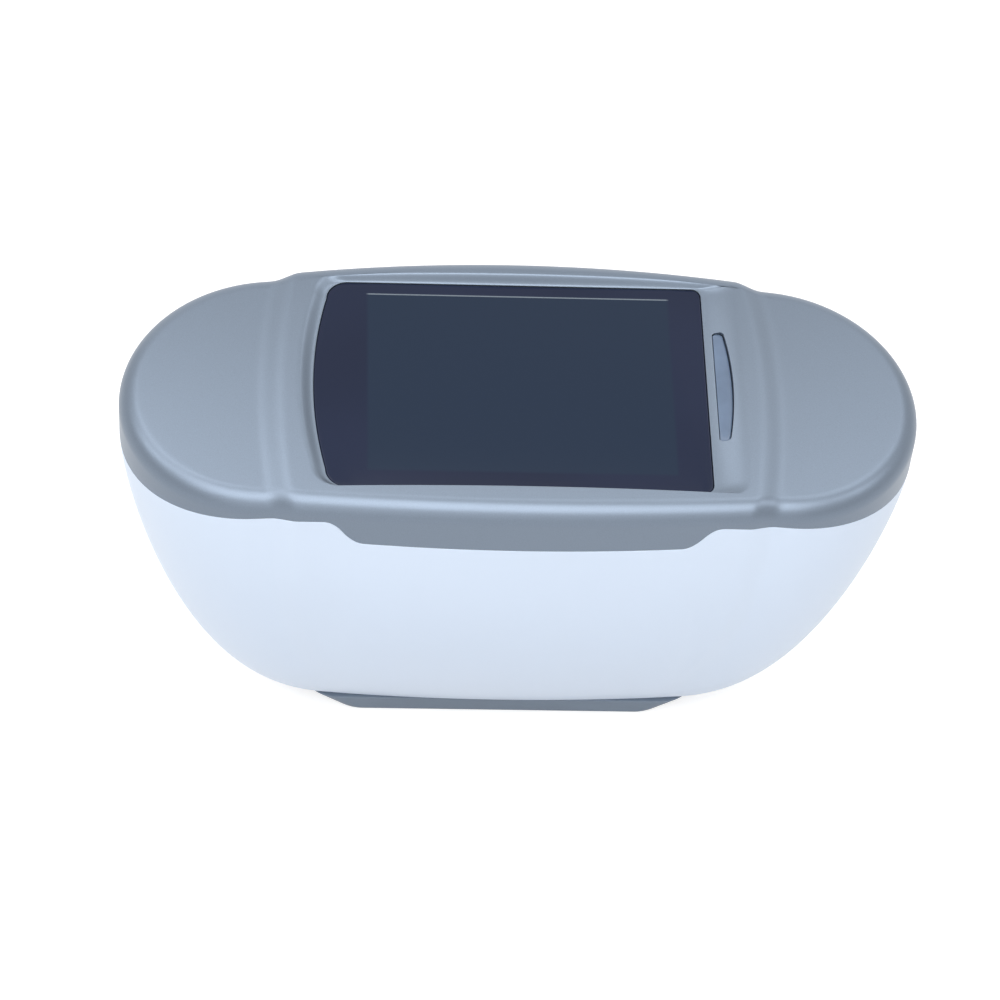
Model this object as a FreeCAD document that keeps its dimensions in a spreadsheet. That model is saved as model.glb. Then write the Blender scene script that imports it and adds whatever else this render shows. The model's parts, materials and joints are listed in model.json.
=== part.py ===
import FreeCAD, Part
import math
import os
import re
import Sketcher

# Hand-held multi-angle spectrophotometer, standing on its measuring foot.
# Origin: centre of the measured spot, on the plane that the foot rests on.
# +X runs along the housing towards its socket end, +Y towards the button flank, +Z up.

# Driving sizes in millimetres and degrees
SIZES = {
    # Outer form of the cover
    "body_length": 184.0,
    "body_height": 105.0,
    "lobe_half_width": 36.6,
    "end_radius": 35.5,
    "crown_radius": 846.0,
    "edge_radius": 4.5,
    "wall": 2.2,
    "roof_depth": 5.2,
    "platform_half_width": 38.5,
    "platform_step": 1.2,
    "platform_reach": 56.0,
    "platform_corner": 7.0,
    "platform_side_radius": 678.0,
    "platform_tuck": 0.4,
    "overcut": 1.0,
    # Seam between cover and housing, with its deeper tongue
    "skirt_depth": 11.4,
    "seam_radius": 705.0,
    "tongue_depth": 6.9,
    "tongue_half_length": 38.3,
    "tongue_slope": 4.4,
    "gasket_inset": 0.6,
    "gasket_width": 1.0,
    "gasket_height": 0.8,
    # Hull of the lower housing
    "hull_half_length": 54.0,
    "hull_half_width": 19.0,
    "hull_power": 0.62,
    "hull_roundness": 0.97,
    "flank_share": 0.6,
    # Foot, aperture and contact pins
    "foot_height": 5.0,
    "foot_half_length": 49.0,
    "foot_half_width": 18.2,
    "foot_end_slope": 7.0,
    "foot_corner_radius": 9.0,
    "aperture_radius": 5.0,
    "aperture_cone_radius": 15.2,
    "aperture_ring_radius": 16.8,
    "aperture_recess": 0.4,
    "aperture_window_radius": 10.0,
    "aperture_window_thickness": 1.0,
    "aperture_window_level": 2.2,
    "pin_radius": 1.5,
    "pin_shoulder_radius": 2.3,
    "pin_shoulder_height": 1.0,
    "pin_shaft_length": 3.6,
    "pin_stem_radius": 1.0,
    "pin_stem_length": 2.0,
    "pin_travel": 1.0,
    "pin_x": 25.0,
    "pin_y": 12.2,
    "pin_cup_radius": 3.4,
    "pin_cup_top": 12.0,
    "pin_spring_depth": 10.8,
    "pin_spring_radius": 1.8,
    "pin_spring_wire": 0.6,
    "pin_spring_pitch": 1.7,
    "running_clearance": 0.05,
    # Screws: long housing screws, foot screws and small inner screws
    "cover_post_x": 42.0,
    "cover_post_y": 12.5,
    "cover_post_radius": 3.1,
    "cover_post_drop": 3.0,
    "cover_boss_radius": 3.0,
    "cover_screw_radius": 1.25,
    "cover_screw_head_radius": 2.3,
    "cover_screw_head_height": 1.6,
    "cover_screw_grip": 6.0,
    "cover_screw_bite": 8.0,
    "foot_screw_x": 33.0,
    "foot_screw_y": 12.6,
    "foot_screw_radius": 1.2,
    "foot_screw_head_radius": 2.4,
    "small_screw_radius": 0.9,
    "small_screw_head_radius": 1.8,
    "small_screw_head_height": 1.3,
    "small_screw_length": 6.0,
    "screw_end_gap": 0.4,
    "screw_clearance": 0.2,
    # Display glass, its recess and the panel under it
    "glass_left": -42.3,
    "glass_right": 43.0,
    "glass_half_width": 30.5,
    "glass_left_radius": 5.0,
    "glass_right_radius": 2.0,
    "glass_bow_radius": 167.0,
    "glass_thickness": 1.1,
    "glass_depth": 2.4,
    "glass_clearance": 0.15,
    "recess_left": 4.6,
    "recess_right": 8.2,
    "recess_side": 3.0,
    "tape_thickness": 0.3,
    "panel_length": 76.9,
    "panel_width": 63.9,
    "panel_thickness": 3.2,
    "view_length": 72.0,
    "view_width": 54.6,
    "frame_thickness": 1.0,
    "frame_length": 94.0,
    "frame_width": 62.0,
    "frame_boss_x": 43.4,
    "frame_boss_y": 26.5,
    "frame_boss_radius": 2.4,
    # Indicator light bar
    "light_bar_x": 47.6,
    "light_bar_half_length": 17.0,
    "light_bar_width": 5.0,
    "light_bar_depth": 1.8,
    "light_bar_thickness": 4.2,
    "led_gap": 0.3,
    "led_height": 0.7,
    "led_size": 2.6,
    "led_pitch": 10.0,
    "indicator_width": 4.8,
    "indicator_half_length": 21.5,
    "indicator_boss_y": 19.6,
    "indicator_boss_radius": 1.6,
    # Boards
    "board_thickness": 1.6,
    "thin_board": 1.0,
    "main_board_length": 112.0,
    "main_board_width": 57.0,
    "main_board_drop": 12.8,
    "chip_height": 1.6,
    # Buttons on the rear flank
    "button_drop": 27.6,
    "measure_x": -8.0,
    "measure_half_length": 12.0,
    "measure_half_width": 4.6,
    "power_x": 28.0,
    "power_radius": 3.6,
    "button_proud": 0.9,
    "button_gap": 0.3,
    "button_flange": 1.0,
    "button_flange_thickness": 1.2,
    "flange_level": 33.7,
    "button_travel": 0.8,
    "travel_reserve": 0.1,
    "switch_size": 6.0,
    "switch_height": 3.4,
    "plunger_radius": 1.6,
    "plunger_height": 0.7,
    "side_board_left": -32.0,
    "side_board_right": 42.0,
    "side_board_height": 15.0,
    "side_boss_left": -27.0,
    "side_boss_right": 37.0,
    "side_boss_radius": 2.4,
    # Socket on the end wall
    "socket_height": 62.0,
    "socket_half_width": 4.5,
    "socket_radius": 1.6,
    "socket_wall": 0.3,
    "socket_length": 9.0,
    "socket_setback": 0.5,
    "socket_tongue_width": 6.4,
    "socket_tongue_thickness": 0.7,
    "port_board_left": 75.4,
    "port_board_right": 83.0,
    "port_board_half_width": 12.0,
    "port_post_x": 77.6,
    "port_post_y": 9.4,
    "port_post_radius": 2.1,
    # Optical bench: arch over the spot, with the lamp and six receivers on rays
    "bench_inner_radius": 30.0,
    "bench_outer_radius": 54.0,
    "bench_half_length": 48.0,
    "bench_thickness": 14.0,
    "bench_cover_thickness": 1.2,
    "bench_lug_width": 7.0,
    "bench_lug_height": 3.0,
    "bench_lug_reach": 15.6,
    "incidence_angle": 45.0,
    "receiver_radius": 2.6,
    "receiver_wall": 0.7,
    "receiver_seat": 36.0,
    "receiver_proud": 1.0,
    "receiver_light_hole": 1.3,
    "lamp_radius": 4.0,
    "lamp_wall": 0.8,
    "lamp_seat": 34.0,
    "lamp_proud": 3.0,
    "lamp_light_hole": 2.4,
    "lens_thickness": 1.4,
    "lamp_board_size": 12.0,
    "emitter_radius": 2.0,
    "emitter_length": 2.5,
    # Light guide harness from the receivers to the analyser
    "harness_radius": 1.9,
    "harness_rise": 7.0,
    "harness_overrun": 2.0,
    "stub_radius": 1.7,
    "stub_depth": 5.0,
    "riser_reach": 6.0,
    # Analyser in the right lobe, battery in the left lobe
    "carrier_drop": 15.0,
    "carrier_post_x": 52.4,
    "carrier_post_y": 14.4,
    "carrier_post_radius": 2.6,
    "ear_length": 7.0,
    "ear_width": 6.4,
    "case_left": 56.0,
    "case_right": 73.0,
    "case_half_width": 19.5,
    "case_height": 34.0,
    "case_wall": 1.5,
    "grating_length": 12.0,
    "grating_thickness": 3.0,
    "grating_radius": 40.0,
    "sensor_board_thickness": 1.2,
    "sensor_length": 20.0,
    "battery_left": 72.0,
    "battery_right": 56.6,
    "battery_half_width": 18.6,
    "battery_height": 36.0,
    "tray_wall": 1.0,
    "tray_floor": 2.0,
    "tray_lip": 9.0,
}

# Lengths that follow from the driving sizes
DERIVED = {
    "half_length": "body_length / 2",
    "lobe_top": "body_height - platform_step",
    "cavity_length": "half_length - wall",
    "cavity_width": "lobe_half_width - wall",
    "cavity_radius": "end_radius - wall",
    "margin": "wall * 3",
    "seam_height": "body_height - skirt_depth",
    "roof_level": "body_height - roof_depth",
    "glass_level": "body_height - glass_depth",
    "light_bar_top": "body_height - light_bar_depth",
    "light_bar_bottom": "light_bar_top - light_bar_thickness",
    "main_board_level": "roof_level - main_board_drop",
    "cover_post_top": "main_board_level - cover_post_drop",
    "skirt_low": "seam_height - tongue_depth - margin * 2",
    "above_all": "body_height + margin",
    "hull_floor": "foot_height + wall",
    "tongue_low": "seam_height - tongue_depth",
    "tongue_end": "tongue_half_length + tongue_slope",
    "glass_under": "glass_level - glass_thickness",
    "ledge_level": "glass_under - tape_thickness",
    "panel_under": "roof_level - panel_thickness",
    "frame_under": "panel_under - frame_thickness",
    "main_board_top": "main_board_level + board_thickness",
    "indicator_top": "light_bar_bottom - led_height - led_gap",
    "indicator_under": "indicator_top - thin_board",
    "button_height": "seam_height - button_drop",
    "button_share": "(button_height - foot_height) / (seam_height - foot_height)",
    "flank_growth": "(1 - (1 - button_share)^2)^hull_power",
    "flank_level": "hull_half_width + (platform_half_width - hull_half_width) * flank_growth",
    "button_face": "flank_level + button_proud",
    "button_back": "flange_level - button_flange_thickness",
    "plunger_top": "button_back - button_travel - travel_reserve",
    "switch_front": "plunger_top - plunger_height",
    "side_board_front": "switch_front - switch_height",
    "side_board_back": "side_board_front - board_thickness",
    "socket_share": "(socket_height - foot_height) / (seam_height - foot_height)",
    "socket_growth": "(1 - (1 - socket_share)^2)^hull_power",
    "end_level": "hull_half_length + (half_length - hull_half_length) * socket_growth",
    "port_board_top": "socket_height - socket_radius",
    "port_board_under": "port_board_top - thin_board",
    "bench_half": "bench_thickness / 2",
    "receiver_end": "bench_outer_radius + receiver_proud",
    "lamp_end": "bench_outer_radius + lamp_proud",
    "harness_arc_radius": "bench_outer_radius + harness_rise",
    "harness_entry": "receiver_end - stub_depth",
    "harness_riser": "bench_outer_radius + riser_reach",
    "pin_counterbore": "pin_shaft_length - pin_travel",
    "post_step": "cover_post_top - cover_screw_grip",
    "carrier_level": "harness_arc_radius - carrier_drop",
    "case_floor": "carrier_level + case_wall",
    "case_top": "carrier_level + case_height",
    "tray_top": "carrier_level + tray_floor",
}

# Receivers by their angle from the mirror reflection, towards the lamp
RECEIVERS = {
    "receiver_minus_15": -15,
    "receiver_15": 15,
    "receiver_25": 25,
    "receiver_45": 45,
    "receiver_75": 75,
    "receiver_110": 110,
}

# Heights of the hull's cross-sections, as shares of its height
HULL_STEPS = (0.0, 0.05, 0.13, 0.27, 0.5, 0.75, 1.0)

# Chips on the main board: centre x and y, half length, half width, and height in steps of a chip's
CHIPS = {
    "processor": (-14, 2, 7, 7, 1),
    "memory": (6, 8, 5, 4, 1),
    "converter": (6, -9, 4, 4, 1),
    "power_chip": (26, 4, 3, 3, 1),
    "panel_connector": (-30, 0, 2.5, 10, 2),
}

# Contact pins around the aperture, in the order of its corners
PIN_CORNERS = ("rear_right", "front_right", "rear_left", "front_left")

Vector = FreeCAD.Vector

# Turns that lay a piece's own +Z along the rear flank's, the socket end's or the foot's normal
FLANK = FreeCAD.Rotation(Vector(1, 0, 0), -90)
END = FreeCAD.Rotation(Vector(0, 1, 0), 90)
UPSIDE_DOWN = FreeCAD.Rotation(Vector(1, 0, 0), 180)

doc = FreeCAD.newDocument("Spectrophotometer")
sheet = doc.addObject("Spreadsheet::Sheet", "Sizes")
for row, (alias, number) in enumerate(SIZES.items(), 1):
    sheet.set(f"A{row}", alias)
    sheet.set(f"B{row}", str(number))
    sheet.setAlias(f"B{row}", alias)
doc.recompute()

parts = []


def bind(text):
    """Turn size names in a formula into cells of the sheet."""
    def cell(match):
        word = match.group()
        if word in DERIVED:
            return f"({bind(DERIVED[word])})"
        return f"Sizes.{word}" if word in SIZES else word
    return re.sub(r"[a-z_]+", cell, str(text))


def value(text):
    return float(sheet.evalExpression(bind(text)))


def keep(shape, label):
    """Name a finished sub-part."""
    shape.Label = label
    parts.append(shape)
    return shape


def put(shape, x, y, z):
    for axis, text in zip("xyz", (x, y, z)):
        shape.setExpression(f"Placement.Base.{axis}", bind(text))
    return shape


def box(name, low, high):
    """Box between two corners, each given as three formulas."""
    shape = doc.addObject("Part::Box", name)
    for side, start, end in zip(("Length", "Width", "Height"), low, high):
        shape.setExpression(side, bind(f"({end}) - ({start})"))
    return put(shape, *low)


def centred_box(name, centre, half_x, half_y, low, high):
    x, y = centre
    return box(name, (f"({x}) - ({half_x})", f"({y}) - ({half_y})", low),
               (f"({x}) + ({half_x})", f"({y}) + ({half_y})", high))


def rod(name, radius, length, at, turn=None):
    """Cylinder that starts at a point and runs along +Z, or along +Z turned."""
    shape = doc.addObject("Part::Cylinder", name)
    if turn:
        shape.Placement = FreeCAD.Placement(Vector(), turn)
    shape.setExpression("Radius", bind(radius))
    shape.setExpression("Height", bind(length))
    return put(shape, *at)


def post(name, radius, x, y, low, high):
    return rod(name, radius, f"({high}) - ({low})", (x, y, low))


def cone(name, radius_low, radius_high, x, y, low, high):
    shape = doc.addObject("Part::Cone", name)
    shape.setExpression("Radius1", bind(radius_low))
    shape.setExpression("Radius2", bind(radius_high))
    shape.setExpression("Height", bind(f"({high}) - ({low})"))
    return put(shape, x, y, low)


def fuse(name, *shapes):
    result = doc.addObject("Part::MultiFuse", name)
    result.Shapes = list(shapes)
    return result


def group(name, shapes):
    result = doc.addObject("Part::Compound", name)
    result.Links = list(shapes)
    return result


def common(name, *shapes):
    result = doc.addObject("Part::MultiCommon", name)
    result.Shapes = list(shapes)
    return result


def cut(name, base, *tools):
    result = doc.addObject("Part::Cut", name)
    result.Base = base
    result.Tool = tools[0] if len(tools) == 1 else fuse(name + "_tools", *tools)
    return result


def corners(x, y):
    """The four places at plus and minus two formulas."""
    return [(f"{a}({x})", f"{b}({y})") for a in ("", "-") for b in ("", "-")]


def origin_plane(body, role):
    return next(item for item in body.Origin.OriginFeatures if item.Role == role)


def new_sketch(body, name, role, offset="0"):
    sketch = body.newObject("Sketcher::SketchObject", name)
    sketch.AttachmentSupport = [(origin_plane(body, role), "")]
    sketch.MapMode = "FlatFace"
    sketch.setExpression("AttachmentOffset.Base.z", bind(offset))
    return sketch


def set_size(sketch, kind, name, formula, *where):
    """Add one dimension to a sketch and bind it to its formula."""
    index = sketch.addConstraint(Sketcher.Constraint(kind, *where, value(formula)))
    sketch.renameConstraint(index, name)
    sketch.setExpression(f"Constraints.{name}", bind(formula))


def draw_outline(sketch, points):
    """Closed outline. A point's third entry is the radius of an arc to the next point.

    A positive radius bulges to the right of the walking direction, a negative one to the left.
    """
    places = [Vector(value(point[0]), value(point[1]), 0) for point in points]
    first = sketch.GeometryCount
    count = len(points)
    for index, point in enumerate(points):
        start, end = places[index], places[(index + 1) % count]
        if len(point) == 2:
            sketch.addGeometry(Part.LineSegment(start, end))
            continue
        radius = value(point[2])
        chord = end - start
        side = Vector(chord.y, -chord.x, 0).normalize() * math.copysign(1, radius)
        height = abs(radius) - math.sqrt(radius ** 2 - (chord.Length / 2) ** 2)
        middle = (start + end) / 2 + side * height
        sketch.addGeometry(arc_through(start, middle, end))
    for index, point in enumerate(points):
        line = first + index
        following = first + (index + 1) % count
        start_here = is_forward(sketch, line, places[index])
        start_next = is_forward(sketch, following, places[(index + 1) % count])
        sketch.addConstraint(Sketcher.Constraint(
            "Coincident", line, 2 if start_here else 1, following, 1 if start_next else 2))
        begin = 1 if start_here else 2
        set_size(sketch, "DistanceX", f"across{line}", point[0], -1, 1, line, begin)
        set_size(sketch, "DistanceY", f"up{line}", point[1], -1, 1, line, begin)
        if len(point) == 3:
            set_size(sketch, "Radius", f"bend{line}", f"abs({point[2]})", line)
    return sketch


def arc_through(start, middle, end):
    """Arc of a circle through three points, turning anticlockwise."""
    circle = Part.Arc(start, middle, end).toShape().Curve
    centre, radius = circle.Center, circle.Radius
    first = math.atan2(start.y - centre.y, start.x - centre.x)
    last = math.atan2(end.y - centre.y, end.x - centre.x)
    turn = (middle - start).cross(end - middle).z
    if turn < 0:
        first, last = last, first
    if last < first:
        last += 2 * math.pi
    return Part.ArcOfCircle(Part.Circle(centre, Vector(0, 0, 1), radius), first, last)


def is_forward(sketch, index, start):
    return (sketch.getPoint(index, 1) - start).Length < 1e-6


def draw_oval(sketch, half_length, half_width, radius):
    """Oval of four tangent arcs: two small end arcs and two long, nearly flat side arcs."""
    long_half, short_half, small = value(half_length), value(half_width), value(radius)
    run = long_half - small
    rise = short_half - small
    drop = (run * run - rise * rise) / (2 * rise)
    side_radius = short_half + drop
    split = math.degrees(math.atan2(run, drop))

    def arc(x, y, size, start, end):
        circle = Part.Circle(Vector(x, y, 0), Vector(0, 0, 1), size)
        return Part.ArcOfCircle(circle, math.radians(start), math.radians(end))

    rear = sketch.addGeometry(arc(0, -drop, side_radius, 90 - split, 90 + split))
    left = sketch.addGeometry(arc(-run, 0, small, 90 + split, 270 - split))
    front = sketch.addGeometry(arc(0, drop, side_radius, 270 - split, 270 + split))
    right = sketch.addGeometry(arc(run, 0, small, 270 + split, 450 - split))
    for one, other in ((rear, left), (left, front), (front, right), (right, rear)):
        sketch.addConstraint(Sketcher.Constraint("Tangent", one, 2, other, 1))
    for centre, axis in ((rear, -2), (front, -2), (left, -1)):
        sketch.addConstraint(Sketcher.Constraint("PointOnObject", centre, 3, axis))
    sketch.addConstraint(Sketcher.Constraint("Equal", left, right))
    sketch.addConstraint(Sketcher.Constraint("Equal", rear, front))
    run_text = f"(({half_length}) - ({radius}))"
    rise_text = f"(({half_width}) - ({radius}))"
    set_size(sketch, "Radius", "end_bend", radius, left)
    set_size(sketch, "DistanceX", "end_place", run_text, left, 3, -1, 1)
    side_text = f"({half_width}) + ({run_text}^2 - {rise_text}^2) / (2 * {rise_text})"
    set_size(sketch, "Radius", "side_bend", side_text, rear)
    return sketch


def pad(body, name, sketch, length, symmetric=False):
    feature = body.newObject("PartDesign::Pad", name)
    feature.Profile = sketch
    feature.setExpression("Length", bind(length))
    if symmetric:
        feature.SideType = "Symmetric"
    return feature


def plan_prism(name, points, low, high):
    """Outline in plan, raised from one level to another."""
    body = doc.addObject("PartDesign::Body", name)
    sketch = draw_outline(new_sketch(body, name + "_plan", "XY_Plane", low), points)
    pad(body, name + "_pad", sketch, f"({high}) - ({low})")
    return body


def side_prism(name, points, width):
    """Outline seen from the front, given width to both sides of the middle plane."""
    body = doc.addObject("PartDesign::Body", name)
    sketch = draw_outline(new_sketch(body, name + "_side", "XZ_Plane"), points)
    pad(body, name + "_pad", sketch, width, symmetric=True)
    return body


def oval_prism(name, half_length, half_width, radius, low, high):
    body = doc.addObject("PartDesign::Body", name)
    sketch = new_sketch(body, name + "_plan", "XY_Plane", low)
    draw_oval(sketch, half_length, half_width, radius)
    pad(body, name + "_pad", sketch, f"({high}) - ({low})")
    return body


def oval_section(sketch, growth, inset):
    """Cross-section of the hull under the lobes."""
    long_half = f"(hull_half_length + (half_length - hull_half_length) * {growth})"
    short_half = f"(hull_half_width + (lobe_half_width - hull_half_width) * {growth})"
    draw_oval(sketch, f"{long_half} - ({inset})", f"{short_half} - ({inset})",
              f"{short_half} * hull_roundness - ({inset})")


def flank_section(sketch, growth, inset):
    """Cross-section of the hull's wider middle, which fades out towards the foot."""
    share = f"(flank_share + (1 - flank_share) * {growth})"
    low_half = "(hull_half_width - platform_tuck)"
    short_half = f"({low_half} + (platform_half_width - {low_half}) * {growth})"
    draw_outline(sketch, platform_plan(f"{short_half} - ({inset})", f"platform_reach * {share}"))


def hull_loft(name, inset, draw_section):
    """Boat-like hull, from the foot to the seam, moved inwards by an inset.

    Its half length and half width grow as (1 - (1 - s)^2)^power of the share s of its height.
    """
    body = doc.addObject("PartDesign::Body", name)
    low = f"foot_height + ({inset})"
    sections = []
    for index, share in enumerate(HULL_STEPS):
        level = f"{low} + (seam_height - ({low})) * {share}"
        sketch = new_sketch(body, f"{name}_section{index}", "XY_Plane", level)
        draw_section(sketch, f"(1 - (1 - {share})^2)^hull_power", inset)
        sections.append(sketch)
    loft = body.newObject("PartDesign::AdditiveLoft", name + "_loft")
    loft.Profile = sections[0]
    loft.Sections = sections[1:]
    return body


def arch(top, radius, x):
    """Height of a wide arch at a distance from its middle."""
    return f"(({top}) - ({radius}) + sqrt(({radius})^2 - ({x})^2))"


def seam_outline(lower, far_level):
    """Outline from the seam to a far level; the seam can be lowered by a gap."""
    reach = "half_length + margin"
    drop = f"- ({lower})"
    end = f"{arch('seam_height', 'seam_radius', reach)} {drop}"
    shoulder = f"{arch('seam_height', 'seam_radius', 'tongue_end')} {drop}"
    return [
        (f"-({reach})", end, "-seam_radius"),
        ("-(tongue_end)", shoulder),
        ("-(tongue_half_length)", f"tongue_low {drop}"),
        ("tongue_half_length", f"tongue_low {drop}"),
        ("tongue_end", shoulder, "-seam_radius"),
        (reach, end),
        (reach, far_level),
        (f"-({reach})", far_level),
    ]


def rounded_plan(left, right, half_width, left_radius, right_radius, *bow):
    """Rectangle in plan with rounded corners, and an outward bow in its left edge if one is given."""
    return [
        (f"({left}) + ({left_radius})", f"-({half_width})"),
        (f"({right}) - ({right_radius})", f"-({half_width})", right_radius),
        (right, f"-({half_width}) + ({right_radius})"),
        (right, f"({half_width}) - ({right_radius})", right_radius),
        (f"({right}) - ({right_radius})", half_width),
        (f"({left}) + ({left_radius})", half_width, left_radius),
        (left, f"({half_width}) - ({left_radius})", *bow),
        (left, f"-({half_width}) + ({left_radius})", left_radius),
    ]


def slot_plan(x, y, half_length, half_width):
    """Slot along the first axis; its half length is measured to the tips of its round ends."""
    run = f"(({half_length}) - ({half_width}))"
    return [
        (f"({x}) - {run}", f"({y}) - ({half_width})"),
        (f"({x}) + {run}", f"({y}) - ({half_width})", half_width),
        (f"({x}) + ({half_length})", y, half_width),
        (f"({x}) + {run}", f"({y}) + ({half_width})"),
        (f"({x}) - {run}", f"({y}) + ({half_width})", half_width),
        (f"({x}) - ({half_length})", y, half_width),
    ]


def platform_plan(half_width, reach):
    """Plan of the display platform: two bowed sides between straight ends."""
    end_width = arch(half_width, "platform_side_radius", reach)
    return [
        (f"-({reach})", f"-{end_width}", "platform_side_radius"),
        (reach, f"-{end_width}"),
        (reach, end_width, "platform_side_radius"),
        (f"-({reach})", end_width),
    ]


def round_edges(body, name, base, wanted, radius):
    """Round those edges of a feature that a test picks."""
    doc.recompute()
    names = [f"Edge{index}" for index, edge in enumerate(base.Shape.Edges, 1) if wanted(edge)]
    rounding = body.newObject("PartDesign::Fillet", name)
    rounding.Base = (base, names)
    rounding.setExpression("Radius", bind(radius))


def crowned(body, plan, crown, corner_radius=None):
    """Raise a plan to above the cover, cut it back to its crown and round its edges."""
    block = pad(body, body.Name + "_pad", plan, "above_all - skirt_low")
    if corner_radius:
        round_edges(body, body.Name + "_corners", block, is_upright, corner_radius)
    sketch = draw_outline(new_sketch(body, body.Name + "_crown", "XZ_Plane"), crown)
    top = body.newObject("PartDesign::Pocket", body.Name + "_top")
    top.Profile = sketch
    top.setExpression("Length", bind("platform_half_width * 4"))
    top.SideType = "Symmetric"
    round_edges(body, body.Name + "_edge", top,
                lambda edge: edge.BoundBox.ZMin > value("seam_height"), "edge_radius")
    return body


def is_upright(edge):
    bounds = edge.BoundBox
    return bounds.ZLength > bounds.XLength + bounds.YLength


# Blocks that the cover and the housing share


def seam_side(name, lower, far_level):
    return side_prism(name, seam_outline(lower, far_level), "platform_half_width * 4")


def cover_block():
    """Two rounded lobes and the wider, higher display platform between them."""
    lobes = doc.addObject("PartDesign::Body", "lobes")
    plan = new_sketch(lobes, "lobes_plan", "XY_Plane", "skirt_low")
    draw_oval(plan, "half_length", "lobe_half_width", "end_radius")
    reach = "half_length + margin"
    lobe_crown = [
        (f"-({reach})", arch("lobe_top", "crown_radius", reach), "-crown_radius"),
        (reach, arch("lobe_top", "crown_radius", reach)),
        (reach, "above_all + margin"),
        (f"-({reach})", "above_all + margin"),
    ]
    crowned(lobes, plan, lobe_crown)
    platform = doc.addObject("PartDesign::Body", "platform")
    plan = new_sketch(platform, "platform_plan", "XY_Plane", "skirt_low")
    draw_outline(plan, platform_plan("platform_half_width", "platform_reach"))
    wide = "platform_reach + margin"
    platform_crown = [
        (f"-({wide})", arch("body_height", "crown_radius", wide), "-crown_radius"),
        (wide, arch("body_height", "crown_radius", wide)),
        (wide, "above_all + margin"),
        (f"-({wide})", "above_all + margin"),
    ]
    crowned(platform, plan, platform_crown, "platform_corner")
    return fuse("cover_block", lobes, platform)


def glass_plan(outset):
    """Plan of the display glass, grown or shrunk all round."""
    return rounded_plan(f"glass_left - ({outset})", f"glass_right + ({outset})",
                        f"glass_half_width + ({outset})", "glass_left_radius",
                        "glass_right_radius", "glass_bow_radius")


def post_places():
    return corners("cover_post_x", "cover_post_y")


def frame_places():
    return corners("frame_boss_x", "frame_boss_y")


def pin_places():
    return corners("pin_x", "pin_y")


# Cover, housing and what closes them


def make_top_cover():
    below = seam_side("below_seam", "0", "skirt_low - margin")
    reach = "half_length + margin"
    low_roof = f"{arch('lobe_top', 'crown_radius', 'half_length')} - wall - edge_radius / 3"
    oval = oval_prism("cover_room_plan", "cavity_length", "cavity_width", "cavity_radius",
                      "skirt_low - margin", "above_all")
    roof = side_prism("cover_room_side", [
        (f"-({reach})", "skirt_low - margin"),
        (reach, "skirt_low - margin"),
        (reach, low_roof),
        ("frame_length / 2", "roof_level"),
        ("-frame_length / 2", "roof_level"),
        (f"-({reach})", low_roof),
    ], "platform_half_width * 4")
    shell = cut("cover_shell", cover_block(), common("cover_room", oval, roof), below)
    bosses = [post(f"cover_boss{i}", "cover_boss_radius", x, y, "cover_post_top", "roof_level + wall / 2")
              for i, (x, y) in enumerate(post_places())]
    bosses += [post(f"frame_boss{i}", "frame_boss_radius", x, y, "panel_under", "roof_level + wall / 2")
               for i, (x, y) in enumerate(frame_places())]
    bosses += [post(f"indicator_boss{i}", "indicator_boss_radius", "light_bar_x", y,
                    "indicator_top", "roof_level + wall / 2")
               for i, y in enumerate(("indicator_boss_y", "-indicator_boss_y"))]
    recess = doc.addObject("PartDesign::Body", "display_recess")
    floor = draw_outline(new_sketch(recess, "recess_floor", "XY_Plane", "ledge_level"),
                         glass_plan("glass_clearance"))
    pad(recess, "recess_well", floor, "glass_level - ledge_level")
    rim = draw_outline(new_sketch(recess, "recess_rim", "XY_Plane", "glass_level"),
                       glass_plan("glass_clearance"))
    mouth = new_sketch(recess, "recess_mouth", "XY_Plane", "body_height")
    draw_outline(mouth, rounded_plan(
        "glass_left - recess_left", "glass_right + recess_right", "glass_half_width + recess_side",
        "glass_left_radius + recess_side", "glass_right_radius + recess_side", "glass_bow_radius"))
    slope = recess.newObject("PartDesign::AdditiveLoft", "recess_slope")
    slope.Profile = rim
    slope.Sections = [mouth]
    window = box("view_window", ("-view_length / 2", "-view_width / 2", "roof_level - margin"),
                 ("view_length / 2", "view_width / 2", "above_all"))
    slot = plan_prism("light_bar_slot", turned(slot_plan(
        "0", "light_bar_x", "light_bar_half_length + glass_clearance",
        "light_bar_width / 2 + glass_clearance")), "roof_level - margin", "above_all")
    pilots = [post(f"cover_pilot{i}", "cover_screw_radius", x, y, "cover_post_top - overcut",
                   "cover_post_top + cover_screw_bite")
              for i, (x, y) in enumerate(post_places())]
    pilots += [post(f"frame_pilot{i}", "small_screw_radius", x, y, "panel_under - overcut", "roof_level")
               for i, (x, y) in enumerate(frame_places())]
    solid = fuse("cover_with_bosses", shell, *bosses)
    keep(cut("cover", solid, recess, window, slot, *pilots), "top_cover")


def turned(points):
    """The same outline with its two directions exchanged and its walking order kept."""
    swapped = [(point[1], point[0]) + tuple(point[2:]) for point in points]
    count = len(swapped)
    turned_round = []
    for index in range(count):
        point = swapped[-index % count]
        arc = swapped[(-index - 1) % count][2:]
        turned_round.append(point[:2] + arc)
    return turned_round


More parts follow.
